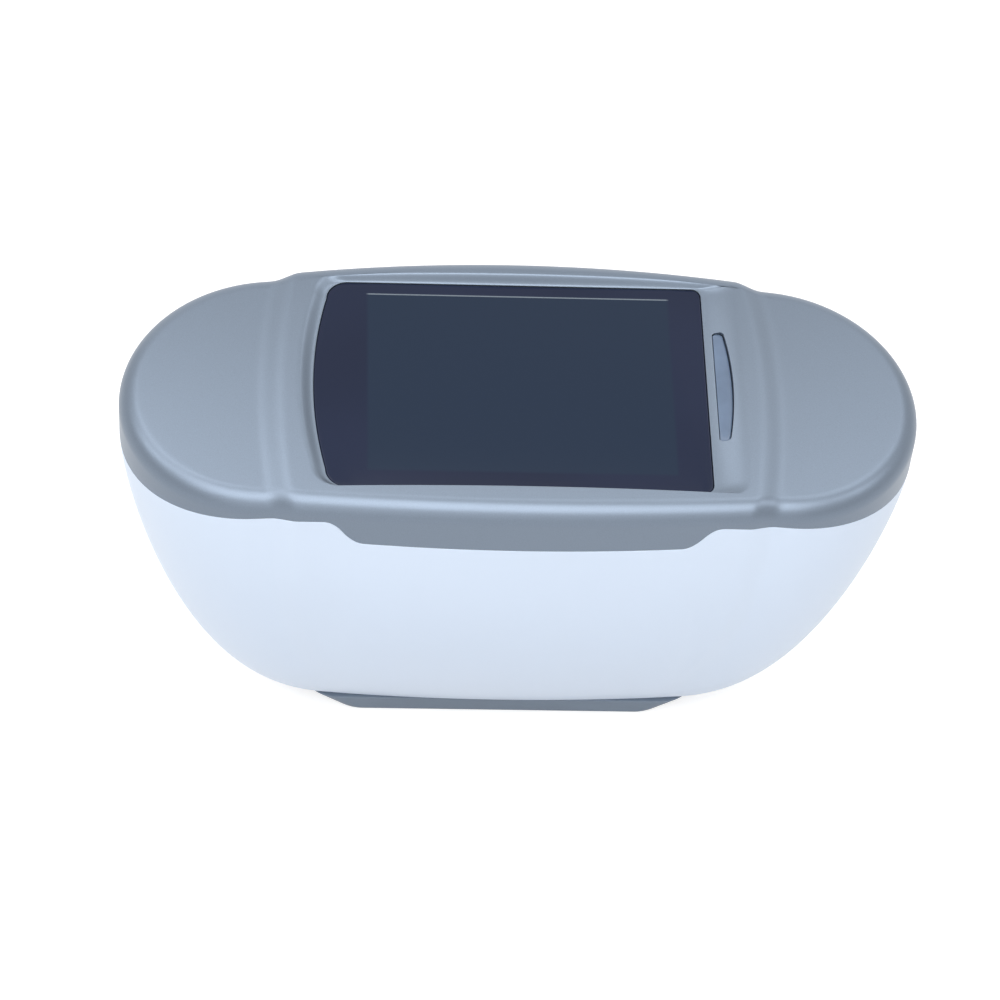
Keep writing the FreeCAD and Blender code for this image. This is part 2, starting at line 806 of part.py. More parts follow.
def make_lower_housing():
    hull = fuse("hull", hull_loft("hull_oval", "0", oval_section),
                hull_loft("hull_flank", "0", flank_section))
    room = fuse("room", hull_loft("room_oval", "wall", oval_section),
                hull_loft("room_flank", "wall", flank_section))
    kept = [post(f"cover_post{i}", "cover_post_radius", x, y, "foot_height", "cover_post_top")
            for i, (x, y) in enumerate(post_places())]
    kept += [post(f"carrier_post{i}", "carrier_post_radius", x, y, "foot_height", "carrier_level")
             for i, (x, y) in enumerate(corners("carrier_post_x", "carrier_post_y"))]
    kept += [post(f"port_post{i}", "port_post_radius", "port_post_x", y, "foot_height", "port_board_under")
             for i, y in enumerate(("port_post_y", "-port_post_y"))]
    kept += [post(f"pin_cup{i}", "pin_cup_radius", x, y, "foot_height", "pin_cup_top")
             for i, (x, y) in enumerate(pin_places())]
    kept += [rod(f"side_boss{i}", "side_boss_radius", "platform_half_width - (side_board_front)",
                 (x, "side_board_front", "button_height"), FLANK)
             for i, x in enumerate(("side_boss_left", "side_boss_right"))]
    hollow = cut("hollow", room, *kept)
    above = seam_side("above_seam", "0", "above_all")
    bores = [post(f"post_bore{i}", "cover_screw_radius + screw_clearance", x, y, "0",
                  "cover_post_top + overcut")
             for i, (x, y) in enumerate(post_places())]
    bores += [post(f"post_recess{i}", "cover_screw_head_radius + screw_clearance", x, y, "0", "post_step")
              for i, (x, y) in enumerate(post_places())]
    bores += [post(f"foot_bore{i}", "foot_screw_radius + screw_clearance", x, y, "0",
                   "hull_floor + overcut")
              for i, (x, y) in enumerate(corners("foot_screw_x", "foot_screw_y"))]
    bores += [post(f"carrier_pilot{i}", "small_screw_radius", x, y,
                   "carrier_level - small_screw_length", "carrier_level + overcut")
              for i, (x, y) in enumerate(corners("carrier_post_x", "carrier_post_y"))]
    bores += [post(f"port_pilot{i}", "small_screw_radius", "port_post_x", y,
                   "port_board_under - small_screw_length", "port_board_under + overcut")
              for i, y in enumerate(("port_post_y", "-port_post_y"))]
    bores += [post(f"spring_well{i}", "pin_shoulder_radius + screw_clearance", x, y, "0", "pin_spring_depth")
              for i, (x, y) in enumerate(pin_places())]
    bores += [rod(f"side_pilot{i}", "small_screw_radius", "small_screw_length",
                  (x, "side_board_front - overcut", "button_height"), FLANK)
              for i, x in enumerate(("side_boss_left", "side_boss_right"))]
    bores.append(post("light_floor", "aperture_cone_radius", "0", "0", "0", "hull_floor + overcut"))
    bores.append(flank_slot("measure_hole", "measure_half_length + button_gap",
                            "measure_half_width + button_gap", "flange_level", "platform_half_width"))
    bores.append(rod("power_hole", "power_radius + button_gap", "platform_half_width - flange_level",
                     ("power_x", "flange_level", "button_height"), FLANK))
    bores.append(end_slot("socket_hole", "socket_half_width + socket_wall", "socket_radius + socket_wall",
                          "half_length - socket_length", "half_length + margin"))
    bores.append(gasket_ring("gasket_groove"))
    keep(cut("housing", hull, hollow, above, *bores), "lower_housing")


def gasket_ring(name):
    """Ring in the middle of the wall, in a band under the seam."""
    rings = []
    for step, inset in (("outer", "gasket_inset"), ("inner", "gasket_inset + gasket_width")):
        rings.append(oval_prism(f"{name}_{step}", f"half_length - ({inset})",
                                f"lobe_half_width - ({inset})", f"end_radius - ({inset})",
                                "skirt_low", "above_all"))
    ring = cut(name + "_ring", *rings)
    band = cut(name + "_band", seam_side(name + "_top", "0", "skirt_low"),
               seam_side(name + "_bottom", "gasket_height", "skirt_low - margin"))
    return common(name, ring, band)


def flank_slot(name, half_length, half_width, low, high, x="measure_x"):
    """Slot-shaped bar that runs out through the rear flank."""
    body = doc.addObject("PartDesign::Body", name)
    sketch = new_sketch(body, name + "_front", "XZ_Plane", f"-({high})")
    draw_outline(sketch, slot_plan(x, "button_height", half_length, half_width))
    pad(body, name + "_pad", sketch, f"({high}) - ({low})")
    return body


def end_slot(name, half_width, radius, low, high):
    """Slot-shaped bar that runs out through the socket end."""
    body = doc.addObject("PartDesign::Body", name)
    sketch = new_sketch(body, name + "_front", "YZ_Plane", low)
    draw_outline(sketch, slot_plan("0", "socket_height", half_width, radius))
    pad(body, name + "_pad", sketch, f"({high}) - ({low})")
    return body


def make_gasket():
    keep(gasket_ring("gasket"), "cover_gasket")


def make_base_plate():
    """Foot plate: a trapezium from the front, with rounded corners in plan."""
    profile = side_prism("foot_profile", [
        ("-(foot_half_length - foot_end_slope)", "0"),
        ("foot_half_length - foot_end_slope", "0"),
        ("foot_half_length", "foot_height"),
        ("-foot_half_length", "foot_height"),
    ], "foot_half_width * 2")
    plan = plan_prism("foot_plan", rounded_plan(
        "-foot_half_length", "foot_half_length", "foot_half_width", "foot_corner_radius",
        "foot_corner_radius"), "0", "foot_height")
    holes = [post("foot_opening", "aperture_ring_radius", "0", "0", "0", "foot_height")]
    head = "foot_screw_head_radius + screw_clearance"
    shank = "foot_screw_radius + screw_clearance"
    for i, (x, y) in enumerate(corners("foot_screw_x", "foot_screw_y")):
        holes.append(cone(f"foot_sink{i}", head, shank, x, y, "0", f"({head}) - ({shank})"))
        holes.append(post(f"foot_hole{i}", shank, x, y, "0", "foot_height"))
    for i, (x, y) in enumerate(pin_places()):
        holes.append(post(f"pin_bore{i}", "pin_radius + running_clearance", x, y, "0", "foot_height"))
        holes.append(post(f"pin_counterbore{i}", "pin_shoulder_radius + screw_clearance", x, y,
                          "pin_counterbore", "foot_height"))
    keep(cut("foot", common("foot_block", profile, plan), *holes), "base_plate")


def make_aperture():
    """Ring with a cone that opens inwards, and the clear window held in it."""
    ring = post("ring_blank", "aperture_ring_radius", "0", "0", "aperture_recess", "foot_height")
    bore = cone("ring_cone", "aperture_radius", "aperture_cone_radius", "0", "0",
                "aperture_recess", "foot_height")
    seat = post("ring_seat", "aperture_window_radius", "0", "0", "aperture_window_level", "foot_height")
    keep(cut("ring", ring, bore, seat), "aperture_ring")
    keep(post("window", "aperture_window_radius", "0", "0", "aperture_window_level",
              "aperture_window_level + aperture_window_thickness"), "aperture_window")


def make_contact_pins():
    """Four pins that feel for the sample, each with its coil of square wire in the cup above it."""
    for corner, (x, y) in zip(PIN_CORNERS, pin_places()):
        name = "contact_pin_" + corner
        shaft = post(name + "_shaft", "pin_radius", x, y, "0", "pin_shaft_length")
        shoulder = post(name + "_shoulder", "pin_shoulder_radius", x, y, "pin_shaft_length",
                        "pin_shaft_length + pin_shoulder_height")
        stem_low = "pin_shaft_length + pin_shoulder_height"
        stem = post(name + "_stem", "pin_stem_radius", x, y, stem_low, f"{stem_low} + pin_stem_length")
        keep(fuse(name + "_solid", shaft, shoulder, stem), name)
        radius, half_wire = value("pin_spring_radius"), value("pin_spring_wire") / 2
        coil = Part.makeHelix(value("pin_spring_pitch"),
                              value(f"pin_spring_depth - ({stem_low}) - pin_spring_wire"), radius)
        square = [Vector(radius + a * half_wire, 0, b * half_wire)
                  for a, b in ((-1, -1), (1, -1), (1, 1), (-1, 1), (-1, -1))]
        spring = doc.addObject("Part::Feature", "coil_" + corner)
        spring.Shape = Part.Wire(coil).makePipeShell([Part.makePolygon(square)], True, True)
        spring.Placement = FreeCAD.Placement(
            Vector(value(x), value(y), value(f"{stem_low}") + half_wire), FreeCAD.Rotation())
        keep(spring, "pin_spring_" + corner)


def screw(name, radius, head_radius, head_height, length, at, turn=None):
    """Pan screw with a cross-shaped recess, built head down and turned into place."""
    body = doc.addObject("PartDesign::Body", name)
    profile = draw_outline(new_sketch(body, name + "_half", "XZ_Plane"), [
        ("0", f"-({head_height})"),
        (head_radius, f"-({head_height})"),
        (head_radius, "0"),
        (radius, "0"),
        (radius, length),
        ("0", length),
    ])
    turned_solid = body.newObject("PartDesign::Revolution", name + "_turned")
    turned_solid.Profile = profile
    turned_solid.ReferenceAxis = (profile, ["V_Axis"])
    turned_solid.Angle = 360
    if turn:
        body.Placement = FreeCAD.Placement(Vector(), turn)
    return put(body, *at)


def make_screws():
    """Foot screws, long cover screws and the small screws inside, each kind one group."""
    foot_screws = []
    head = "foot_screw_head_radius"
    for i, (x, y) in enumerate(corners("foot_screw_x", "foot_screw_y")):
        sink = cone(f"foot_screw_head{i}", head, "foot_screw_radius", x, y, "0",
                    f"{head} - foot_screw_radius")
        shank = post(f"foot_screw_shank{i}", "foot_screw_radius", x, y, "0",
                     "hull_floor + bench_lug_height - screw_end_gap")
        recess = centred_box(f"foot_screw_recess{i}", (x, y), "foot_screw_radius",
                             "foot_screw_radius / 4", "0", "foot_screw_radius / 2")
        foot_screws.append(cut(f"foot_screw{i}", fuse(f"foot_screw_solid{i}", sink, shank), recess))
    keep(group("foot_screw_set", foot_screws), "foot_screws")
    cover_screws = [screw(f"cover_screw{i}", "cover_screw_radius", "cover_screw_head_radius",
                          "cover_screw_head_height", "cover_screw_grip + cover_screw_bite",
                          (x, y, "post_step")) for i, (x, y) in enumerate(post_places())]
    keep(group("cover_screw_set", cover_screws), "cover_screws")
    long_reach = "main_board_drop - screw_end_gap"
    board_screws = [screw(f"board_screw{i}", "small_screw_radius", "small_screw_head_radius",
                          "small_screw_head_height", long_reach, (x, y, "main_board_level"))
                    for i, (x, y) in enumerate(frame_places())]
    keep(group("board_screw_set", board_screws), "board_screws")
    small = ("small_screw_radius", "small_screw_head_radius", "small_screw_head_height")
    inner = []
    for i, (x, y) in enumerate(corners("carrier_post_x", "carrier_post_y")):
        ear = "case_wall" if x.startswith("(") else "tray_floor"
        inner.append(screw(f"carrier_screw{i}", *small, "small_screw_length",
                           (x, y, f"carrier_level + {ear}"), UPSIDE_DOWN))
    for i, y in enumerate(("port_post_y", "-port_post_y")):
        inner.append(screw(f"port_screw{i}", *small, "small_screw_length",
                           ("port_post_x", y, "port_board_top"), UPSIDE_DOWN))
    for i, x in enumerate(("side_boss_left", "side_boss_right")):
        inner.append(screw(f"side_screw{i}", *small, "small_screw_length",
                           (x, "side_board_back", "button_height"), FLANK))
    keep(group("inner_screw_set", inner), "inner_screws")


def make_display():
    """Cover glass on its tape, and the panel clamped under the roof by a metal frame."""
    keep(plan_prism("glass", glass_plan("0"), "glass_under", "glass_level"), "screen_glass")
    sheet_of_tape = plan_prism("tape_sheet", glass_plan("-glass_clearance"), "ledge_level", "glass_under")
    opening = box("tape_opening", ("-view_length / 2", "-view_width / 2", "ledge_level"),
                  ("view_length / 2", "view_width / 2", "glass_under"))
    keep(cut("tape", sheet_of_tape, opening), "screen_tape")
    keep(box("panel", ("-panel_length / 2", "-panel_width / 2", "panel_under"),
             ("panel_length / 2", "panel_width / 2", "roof_level")), "display_panel")
    plate = box("frame_plate", ("-frame_length / 2", "-frame_width / 2", "frame_under"),
                ("frame_length / 2", "frame_width / 2", "panel_under"))
    keep(cut("frame", plate, *stack_holes("frame", "frame_under", "panel_under")), "display_frame")


def stack_holes(name, low, high):
    """Holes for the four clamping screws and for the four cover bosses."""
    holes = [post(f"{name}_screw_hole{i}", "small_screw_radius + screw_clearance", x, y, low, high)
             for i, (x, y) in enumerate(frame_places())]
    holes += [post(f"{name}_boss_hole{i}", "cover_boss_radius + screw_clearance", x, y, low, high)
              for i, (x, y) in enumerate(post_places())]
    return holes


def make_main_board():
    body = doc.addObject("PartDesign::Body", "board_body")
    half_x, half_y, corner = "main_board_length / 2", "main_board_width / 2", "cover_boss_radius"
    outline = draw_outline(new_sketch(body, "board_outline", "XY_Plane", "main_board_level"), rounded_plan(
        f"-{half_x}", half_x, half_y, corner, corner))
    pad(body, "board_pad", outline, "board_thickness")
    keep(cut("board", body, *stack_holes("board", "main_board_level", "main_board_top")), "main_board")
    spacers = []
    for i, (x, y) in enumerate(frame_places()):
        sleeve = post(f"spacer_sleeve{i}", "frame_boss_radius", x, y, "main_board_top", "frame_under")
        bore = post(f"spacer_bore{i}", "small_screw_radius + screw_clearance", x, y,
                    "main_board_top", "frame_under")
        spacers.append(cut(f"spacer{i}", sleeve, bore))
    keep(group("spacer_set", spacers), "board_spacers")
    top = "main_board_top"
    chips = [centred_box(name, (x, y), half_x, half_y, top, f"{top} + {steps} * chip_height")
             for name, (x, y, half_x, half_y, steps) in CHIPS.items()]
    keep(group("chip_set", chips), "board_chips")


def make_indicator():
    """Light bar in its slot, with a narrow board of three lamps under it."""
    keep(plan_prism("bar", turned(slot_plan("0", "light_bar_x", "light_bar_half_length",
                                            "light_bar_width / 2")),
                    "light_bar_bottom", "light_bar_top"), "light_bar")
    strip = centred_box("indicator_strip", ("light_bar_x", "0"), "indicator_width / 2",
                        "indicator_half_length", "indicator_under", "indicator_top")
    keep(strip, "indicator_board")
    lamps = [centred_box(f"indicator_lamp{i}", ("light_bar_x", y), "led_size / 2", "led_size / 2",
                         "indicator_top", "indicator_top + led_height")
             for i, y in enumerate(("-led_pitch", "0", "led_pitch"))]
    keep(group("indicator_lamp_set", lamps), "indicator_lamps")


def make_buttons():
    """Measuring key and power key in the rear flank, with their switches and board."""
    key = flank_slot("measure_cap", "measure_half_length", "measure_half_width",
                     "button_back", "button_face")
    flange = flank_slot("measure_flange", "measure_half_length + button_flange",
                        "measure_half_width + button_flange", "button_back", "flange_level")
    keep(fuse("measure_key", key, flange), "measure_button")
    cap = rod("power_cap", "power_radius", "button_face - button_back",
              ("power_x", "button_back", "button_height"), FLANK)
    rim = rod("power_rim", "power_radius + button_flange", "button_flange_thickness",
              ("power_x", "button_back", "button_height"), FLANK)
    keep(fuse("power_key", cap, rim), "power_button")
    for name, x in (("measure_switch", "measure_x"), ("power_switch", "power_x")):
        case = box(name + "_case", (f"{x} - switch_size / 2", "side_board_front",
                                    "button_height - switch_size / 2"),
                   (f"{x} + switch_size / 2", "switch_front", "button_height + switch_size / 2"))
        plunger = rod(name + "_plunger", "plunger_radius", "plunger_height",
                      (x, "switch_front", "button_height"), FLANK)
        keep(fuse(name + "_solid", case, plunger), name)
    half = "side_board_height / 2"
    plate = box("side_plate", ("side_board_left", "side_board_back", f"button_height - {half}"),
                ("side_board_right", "side_board_front", f"button_height + {half}"))
    holes = [rod(f"side_hole{i}", "small_screw_radius + screw_clearance", "board_thickness",
                 (x, "side_board_back", "button_height"), FLANK)
             for i, x in enumerate(("side_boss_left", "side_boss_right"))]
    keep(cut("side_panel", plate, *holes), "side_board")


def make_socket():
    """Charging and data socket in the end wall, on its small board."""
    mouth = "end_level - socket_setback"
    back = f"{mouth} - socket_length"
    shell = end_slot("socket_shell", "socket_half_width + socket_wall", "socket_radius", back, mouth)
    inside = end_slot("socket_inside", "socket_half_width", "socket_radius - socket_wall",
                      f"{back} + socket_wall", mouth)
    tongue = box("socket_tongue", (back, "-socket_tongue_width / 2",
                                   "socket_height - socket_tongue_thickness / 2"),
                 (f"{mouth} - socket_wall * 3", "socket_tongue_width / 2",
                  "socket_height + socket_tongue_thickness / 2"))
    keep(fuse("socket", cut("socket_can", shell, inside), tongue), "usb_socket")
    plate = box("port_plate", ("port_board_left", "-port_board_half_width", "port_board_under"),
                ("port_board_right", "port_board_half_width", "port_board_top"))
    holes = [post(f"port_hole{i}", "small_screw_radius + screw_clearance", "port_post_x", y,
                  "port_board_under", "port_board_top")
             for i, y in enumerate(("port_post_y", "-port_post_y"))]
    keep(cut("port_panel", plate, *holes), "port_board")


def on_ray(name, radius, start, end, angle):
    """Round bar along a ray from the spot; the angle is measured from +Z towards +X."""
    turn = FreeCAD.Rotation(Vector(0, 1, 0), value(angle))
    return rod(name, radius, f"({end}) - ({start})",
               (f"({start}) * sin({angle})", "0", f"({start}) * cos({angle})"), turn)


def make_bench():
    """Arch-shaped optical bench with its lugs, and the two plates that close its sides."""
    height = "sqrt({0}^2 - {1}^2)"
    outer = height.format("bench_outer_radius", "bench_half_length")
    inner = height.format("bench_inner_radius", "(hull_floor)")
    arch_outline = [
        ("-bench_half_length", "hull_floor"),
        ("-bench_half_length", outer, "-bench_outer_radius"),
        ("bench_half_length", outer),
        ("bench_half_length", "hull_floor"),
        (inner, "hull_floor", "bench_inner_radius"),
        (f"-{inner}", "hull_floor"),
    ]
    solid = side_prism("bench_arch", arch_outline, "bench_thickness")
    lugs = [centred_box(f"bench_lug{i}", (f"{sign} * foot_screw_x", "0"), "bench_lug_width / 2",
                        "bench_lug_reach", "hull_floor", "hull_floor + bench_lug_height")
            for i, sign in enumerate((-1, 1))]
    bores = [post(f"bench_pilot{i}", "foot_screw_radius", x, y, "hull_floor - overcut",
                  "hull_floor + bench_lug_height + overcut")
             for i, (x, y) in enumerate(corners("foot_screw_x", "foot_screw_y"))]
    for name, offset in RECEIVERS.items():
        angle = f"(incidence_angle - {offset})"
        bores.append(on_ray(name + "_seat", "receiver_radius", "receiver_seat",
                            "bench_outer_radius + margin", angle))
        bores.append(on_ray(name + "_light", "receiver_light_hole", "bench_inner_radius - margin",
                            "receiver_seat + overcut", angle))
    bores.append(on_ray("lamp_bore", "lamp_radius", "lamp_seat", "bench_outer_radius + margin",
                        "-incidence_angle"))
    bores.append(on_ray("lamp_light", "lamp_light_hole", "bench_inner_radius - margin",
                        "lamp_seat + overcut", "-incidence_angle"))
    keep(cut("bench", fuse("bench_blank", solid, *lugs), *bores), "optics_bench")
    plate_outline = [
        ("-bench_half_length", "hull_floor"),
        ("bench_half_length", "hull_floor"),
        ("bench_half_length", outer, "bench_outer_radius"),
        ("-bench_half_length", outer),
    ]
    for name, low, high in (("bench_cover_front", "-(bench_half + bench_cover_thickness)", "-bench_half"),
                            ("bench_cover_rear", "bench_half", "bench_half + bench_cover_thickness")):
        body = doc.addObject("PartDesign::Body", name + "_body")
        sketch = draw_outline(new_sketch(body, name + "_side", "XZ_Plane", f"-({high})"), plate_outline)
        pad(body, name + "_pad", sketch, "bench_cover_thickness")
        notches = [centred_box(f"{name}_notch{i}", (f"{sign} * foot_screw_x", "0"),
                               "bench_lug_width / 2", "bench_lug_reach", "hull_floor",
                               "hull_floor + bench_lug_height")
                   for i, sign in enumerate((-1, 1))]
        keep(cut(name + "_plate", body, *notches), name)


def barrel(name, radius, wall, start, end, angle):
    return cut(name + "_tube", on_ray(name + "_outside", radius, start, end, angle),
               on_ray(name + "_inside", f"{radius} - {wall}", start, end, angle))


def make_optics():
    """Lamp and receivers: a barrel on each ray, with its lens just inside the inner end."""
    lenses = []
    for name, offset in RECEIVERS.items():
        angle = f"(incidence_angle - {offset})"
        keep(barrel(name, "receiver_radius", "receiver_wall", "receiver_seat", "receiver_end", angle), name)
        lenses.append(on_ray(name + "_lens", "receiver_radius - receiver_wall",
                             "receiver_seat + receiver_wall",
                             "receiver_seat + receiver_wall + lens_thickness", angle))
    keep(group("receiver_lens_set", lenses), "receiver_lenses")
    angle = "-incidence_angle"
    keep(barrel("lamp", "lamp_radius", "lamp_wall", "lamp_seat", "lamp_end", angle), "lamp_barrel")
    keep(on_ray("lamp_glass", "lamp_radius - lamp_wall", "lamp_seat + lamp_wall",
                "lamp_seat + lamp_wall + lens_thickness", angle), "lamp_lens")
    half = "lamp_board_size / 2"
    plate = doc.addObject("Part::Box", "lamp_plate")
    plate.Placement = FreeCAD.Placement(Vector(), FreeCAD.Rotation(Vector(0, 1, 0), value(angle)))
    for side, length in (("Length", "lamp_board_size"), ("Width", "lamp_board_size"),
                         ("Height", "thin_board")):
        plate.setExpression(side, bind(length))
    put(plate, f"lamp_end * sin({angle}) - {half} * cos({angle})", f"-{half}",
        f"lamp_end * cos({angle}) + {half} * sin({angle})")
    keep(plate, "lamp_board")
    emitter = on_ray("emitter", "emitter_radius", "lamp_end - emitter_length", "lamp_end", angle)
    keep(emitter, "lamp_emitter")


def make_harness():
    """Moulded light guide: a stub in each receiver, an arc over the left ones and a run to the analyser."""
    last = f"(incidence_angle - {max(RECEIVERS.values())})"
    arc = doc.addObject("Part::Torus", "harness_arc")
    arc.setExpression("Radius1", bind("harness_arc_radius"))
    arc.setExpression("Radius2", bind("harness_radius"))
    arc.setExpression("Angle3", bind(f"harness_overrun - {last}"))
    over_the_top = FreeCAD.Rotation(Vector(0, 0, 1), Vector(-1, 0, 0), Vector(0, -1, 0), "XYZ")
    arc.Placement = FreeCAD.Placement(Vector(), over_the_top)
    run = rod("harness_run", "harness_radius", "case_left + case_wall",
              ("0", "0", "harness_arc_radius"), END)
    pieces = [arc, run]
    for name, offset in RECEIVERS.items():
        angle = f"(incidence_angle - {offset})"
        end = "harness_arc_radius"
        if value(f"harness_arc_radius * tan({angle})") > value("case_left"):
            end = "harness_riser"
            pieces.append(post(name + "_bend", "stub_radius", f"{end} * sin({angle})", "0",
                               f"{end} * cos({angle}) - 2 * stub_radius", "harness_arc_radius"))
        elif value(angle) > 0:
            end = f"harness_arc_radius / cos({angle})"
        pieces.append(on_ray(name + "_stub", "stub_radius", "harness_entry", end, angle))
    keep(fuse("harness", *pieces), "light_guide_harness")


def make_analyser():
    """Analyser box in the right lobe: lid, curved grating, line sensor and its board."""
    low, high = "carrier_level", "case_top"
    block = box("case_block", ("case_left", "-case_half_width", low),
                ("case_right", "case_half_width", high))
    room = box("case_room", ("case_left + case_wall", "-(case_half_width - case_wall)", "case_floor"),
               ("case_right - case_wall", "case_half_width - case_wall", high))
    ears = box("case_ears", ("carrier_post_x - ear_length / 2", "-(carrier_post_y + ear_width / 2)", low),
               ("case_left + case_wall", "carrier_post_y + ear_width / 2", "case_floor"))
    middle = box("case_ear_gap", ("carrier_post_x - ear_length", "-(carrier_post_y - ear_width / 2)", low),
                 ("case_left", "carrier_post_y - ear_width / 2", "case_floor"))
    holes = [post(f"case_hole{i}", "small_screw_radius + screw_clearance", "carrier_post_x", y,
                  low, "case_floor") for i, y in enumerate(("carrier_post_y", "-carrier_post_y"))]
    entry = rod("case_entry", "harness_radius", "case_wall", ("case_left", "0", "harness_arc_radius"), END)
    keep(cut("case", fuse("case_solid", block, ears), room, middle, *holes, entry), "analyser_case")
    keep(box("case_cap", ("case_left", "-case_half_width", high),
             ("case_right", "case_half_width", f"{high} + case_wall")), "analyser_lid")
    wall_y = "case_half_width - case_wall"
    middle_z = "harness_arc_radius"
    blank = box("grating_blank", ("case_left + case_wall", f"{wall_y} - grating_thickness",
                                  f"{middle_z} - grating_length / 2"),
                ("case_right - case_wall", wall_y, f"{middle_z} + grating_length / 2"))
    dish = rod("grating_dish", "grating_radius", "case_right - case_left",
               ("case_left", f"{wall_y} - grating_thickness / 2 - grating_radius", middle_z), END)
    keep(cut("grating_curve", blank, dish), "grating")
    board_face = f"-({wall_y}) + sensor_board_thickness"
    keep(box("sensor_plate", ("case_left + case_wall", f"-({wall_y})", "case_floor"),
             ("case_right - case_wall", board_face, high)), "sensor_board")
    keep(box("sensor_chip", ("case_left + case_wall * 4", board_face,
                             f"{middle_z} - sensor_length / 2"),
             ("case_right - case_wall * 4", f"{board_face} + 2 * sensor_board_thickness",
              f"{middle_z} + sensor_length / 2")), "line_sensor")


def make_battery():
    """Battery pack in its tray in the left lobe."""
    floor = "tray_top"
    pack = box("pack_box", ("-battery_left", "-battery_half_width", floor),
               ("-battery_right", "battery_half_width", f"{floor} + battery_height"))
    rounded = doc.addObject("Part::Fillet", "pack_rounded")
    rounded.Base = pack
    doc.recompute()
    upright = [i for i, edge in enumerate(pack.Shape.Edges, 1)
               if edge.BoundBox.ZLength > value("battery_height") / 2]
    rounded.Edges = [(i, value("wall"), value("wall")) for i in upright]
    keep(rounded, "battery_pack")
    low = "carrier_level"
    outside = box("tray_block", ("-(battery_left + tray_wall)", "-(battery_half_width + tray_wall)", low),
                  ("-(battery_right - tray_wall)", "battery_half_width + tray_wall", f"{floor} + tray_lip"))
    inside = box("tray_room", ("-battery_left", "-battery_half_width", floor),
                 ("-battery_right", "battery_half_width", f"{floor} + tray_lip"))
    ears = [box(f"tray_ear{i}", ("-battery_right", f"{y} - ear_width / 2", low),
                ("-(carrier_post_x - ear_length / 2)", f"{y} + ear_width / 2", floor))
            for i, y in enumerate(("carrier_post_y", "-carrier_post_y"))]
    holes = [post(f"tray_hole{i}", "small_screw_radius + screw_clearance", "-carrier_post_x", y, low, floor)
             for i, y in enumerate(("carrier_post_y", "-carrier_post_y"))]
    keep(cut("tray", fuse("tray_solid", outside, *ears), inside, *holes), "battery_tray")


def check(objects):
    """Stop if anything in the document failed or a sub-part has no sound shape."""
    failed = [item.Name for item in doc.Objects if {"Invalid", "Error"} & set(item.State)]
    failed += [item.Label for item in objects if item.Shape.isNull() or not item.Shape.isValid()]
    if failed:
        raise RuntimeError("failed: " + ", ".join(failed))


make_top_cover()
make_lower_housing()
make_gasket()
make_base_plate()
make_aperture()
make_contact_pins()
make_display()
make_main_board()
make_indicator()
make_buttons()
make_socket()
make_bench()
make_optics()
make_harness()
make_analyser()
make_battery()
make_screws()
doc.recompute()
check(parts)
os.makedirs("parts", exist_ok=True)
for part in parts:
    part.Shape.exportStep(f"parts/{part.Label}.step")
    print(part.Label, len(part.Shape.Solids), round(part.Shape.Volume, 1))
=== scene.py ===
"""Looks of a hand-held multi-angle spectrophotometer: a silver cover on a white hull, on a grey foot.

All lengths are in metres. +X runs towards the socket end, -Y is the front flank and +Z is up.
"""
import json
import math
import bpy
import numpy as np
from mathutils import Matrix, Vector


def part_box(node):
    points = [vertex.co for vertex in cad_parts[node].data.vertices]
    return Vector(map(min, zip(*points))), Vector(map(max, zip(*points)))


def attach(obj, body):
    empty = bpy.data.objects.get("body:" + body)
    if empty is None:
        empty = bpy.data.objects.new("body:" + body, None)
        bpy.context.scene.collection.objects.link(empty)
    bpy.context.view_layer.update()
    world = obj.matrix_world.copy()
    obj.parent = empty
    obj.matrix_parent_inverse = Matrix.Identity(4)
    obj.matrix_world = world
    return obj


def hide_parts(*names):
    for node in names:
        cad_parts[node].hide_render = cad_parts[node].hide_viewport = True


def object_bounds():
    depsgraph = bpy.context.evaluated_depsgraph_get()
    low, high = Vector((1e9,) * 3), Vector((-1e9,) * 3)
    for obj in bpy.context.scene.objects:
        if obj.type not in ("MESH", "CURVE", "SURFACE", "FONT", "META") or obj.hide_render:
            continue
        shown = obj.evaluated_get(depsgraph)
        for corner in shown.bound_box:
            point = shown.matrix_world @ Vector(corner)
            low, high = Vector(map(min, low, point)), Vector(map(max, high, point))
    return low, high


bl_info = {
    "name": "Multi-angle Spectrophotometer",
    "version": (1, 0, 0),
    "blender": (4, 5, 0),
    "location": "View3D > Sidebar > Spectro",
    "description": "Housing, display, keys and finishes of a multi-angle spectrophotometer",
    "category": "Object",
}

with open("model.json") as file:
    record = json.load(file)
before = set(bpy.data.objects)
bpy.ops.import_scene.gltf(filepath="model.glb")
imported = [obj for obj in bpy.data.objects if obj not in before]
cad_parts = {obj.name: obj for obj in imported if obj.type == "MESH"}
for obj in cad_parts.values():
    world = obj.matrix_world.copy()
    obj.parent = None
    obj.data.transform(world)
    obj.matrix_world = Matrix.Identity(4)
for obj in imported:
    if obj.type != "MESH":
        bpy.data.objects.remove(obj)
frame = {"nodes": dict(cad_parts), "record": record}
CAD_LOW, CAD_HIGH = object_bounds()
MM = 0.001

# Points on each long side, on each round end and on the four arcs of a loop around the housing
SIDE_POINTS, END_POINTS = 280, 100
ARC_POINTS = (SIDE_POINTS, END_POINTS, SIDE_POINTS, END_POINTS)

# Edges sharper than this many degrees stay sharp
SHARP_ANGLE = 32.0

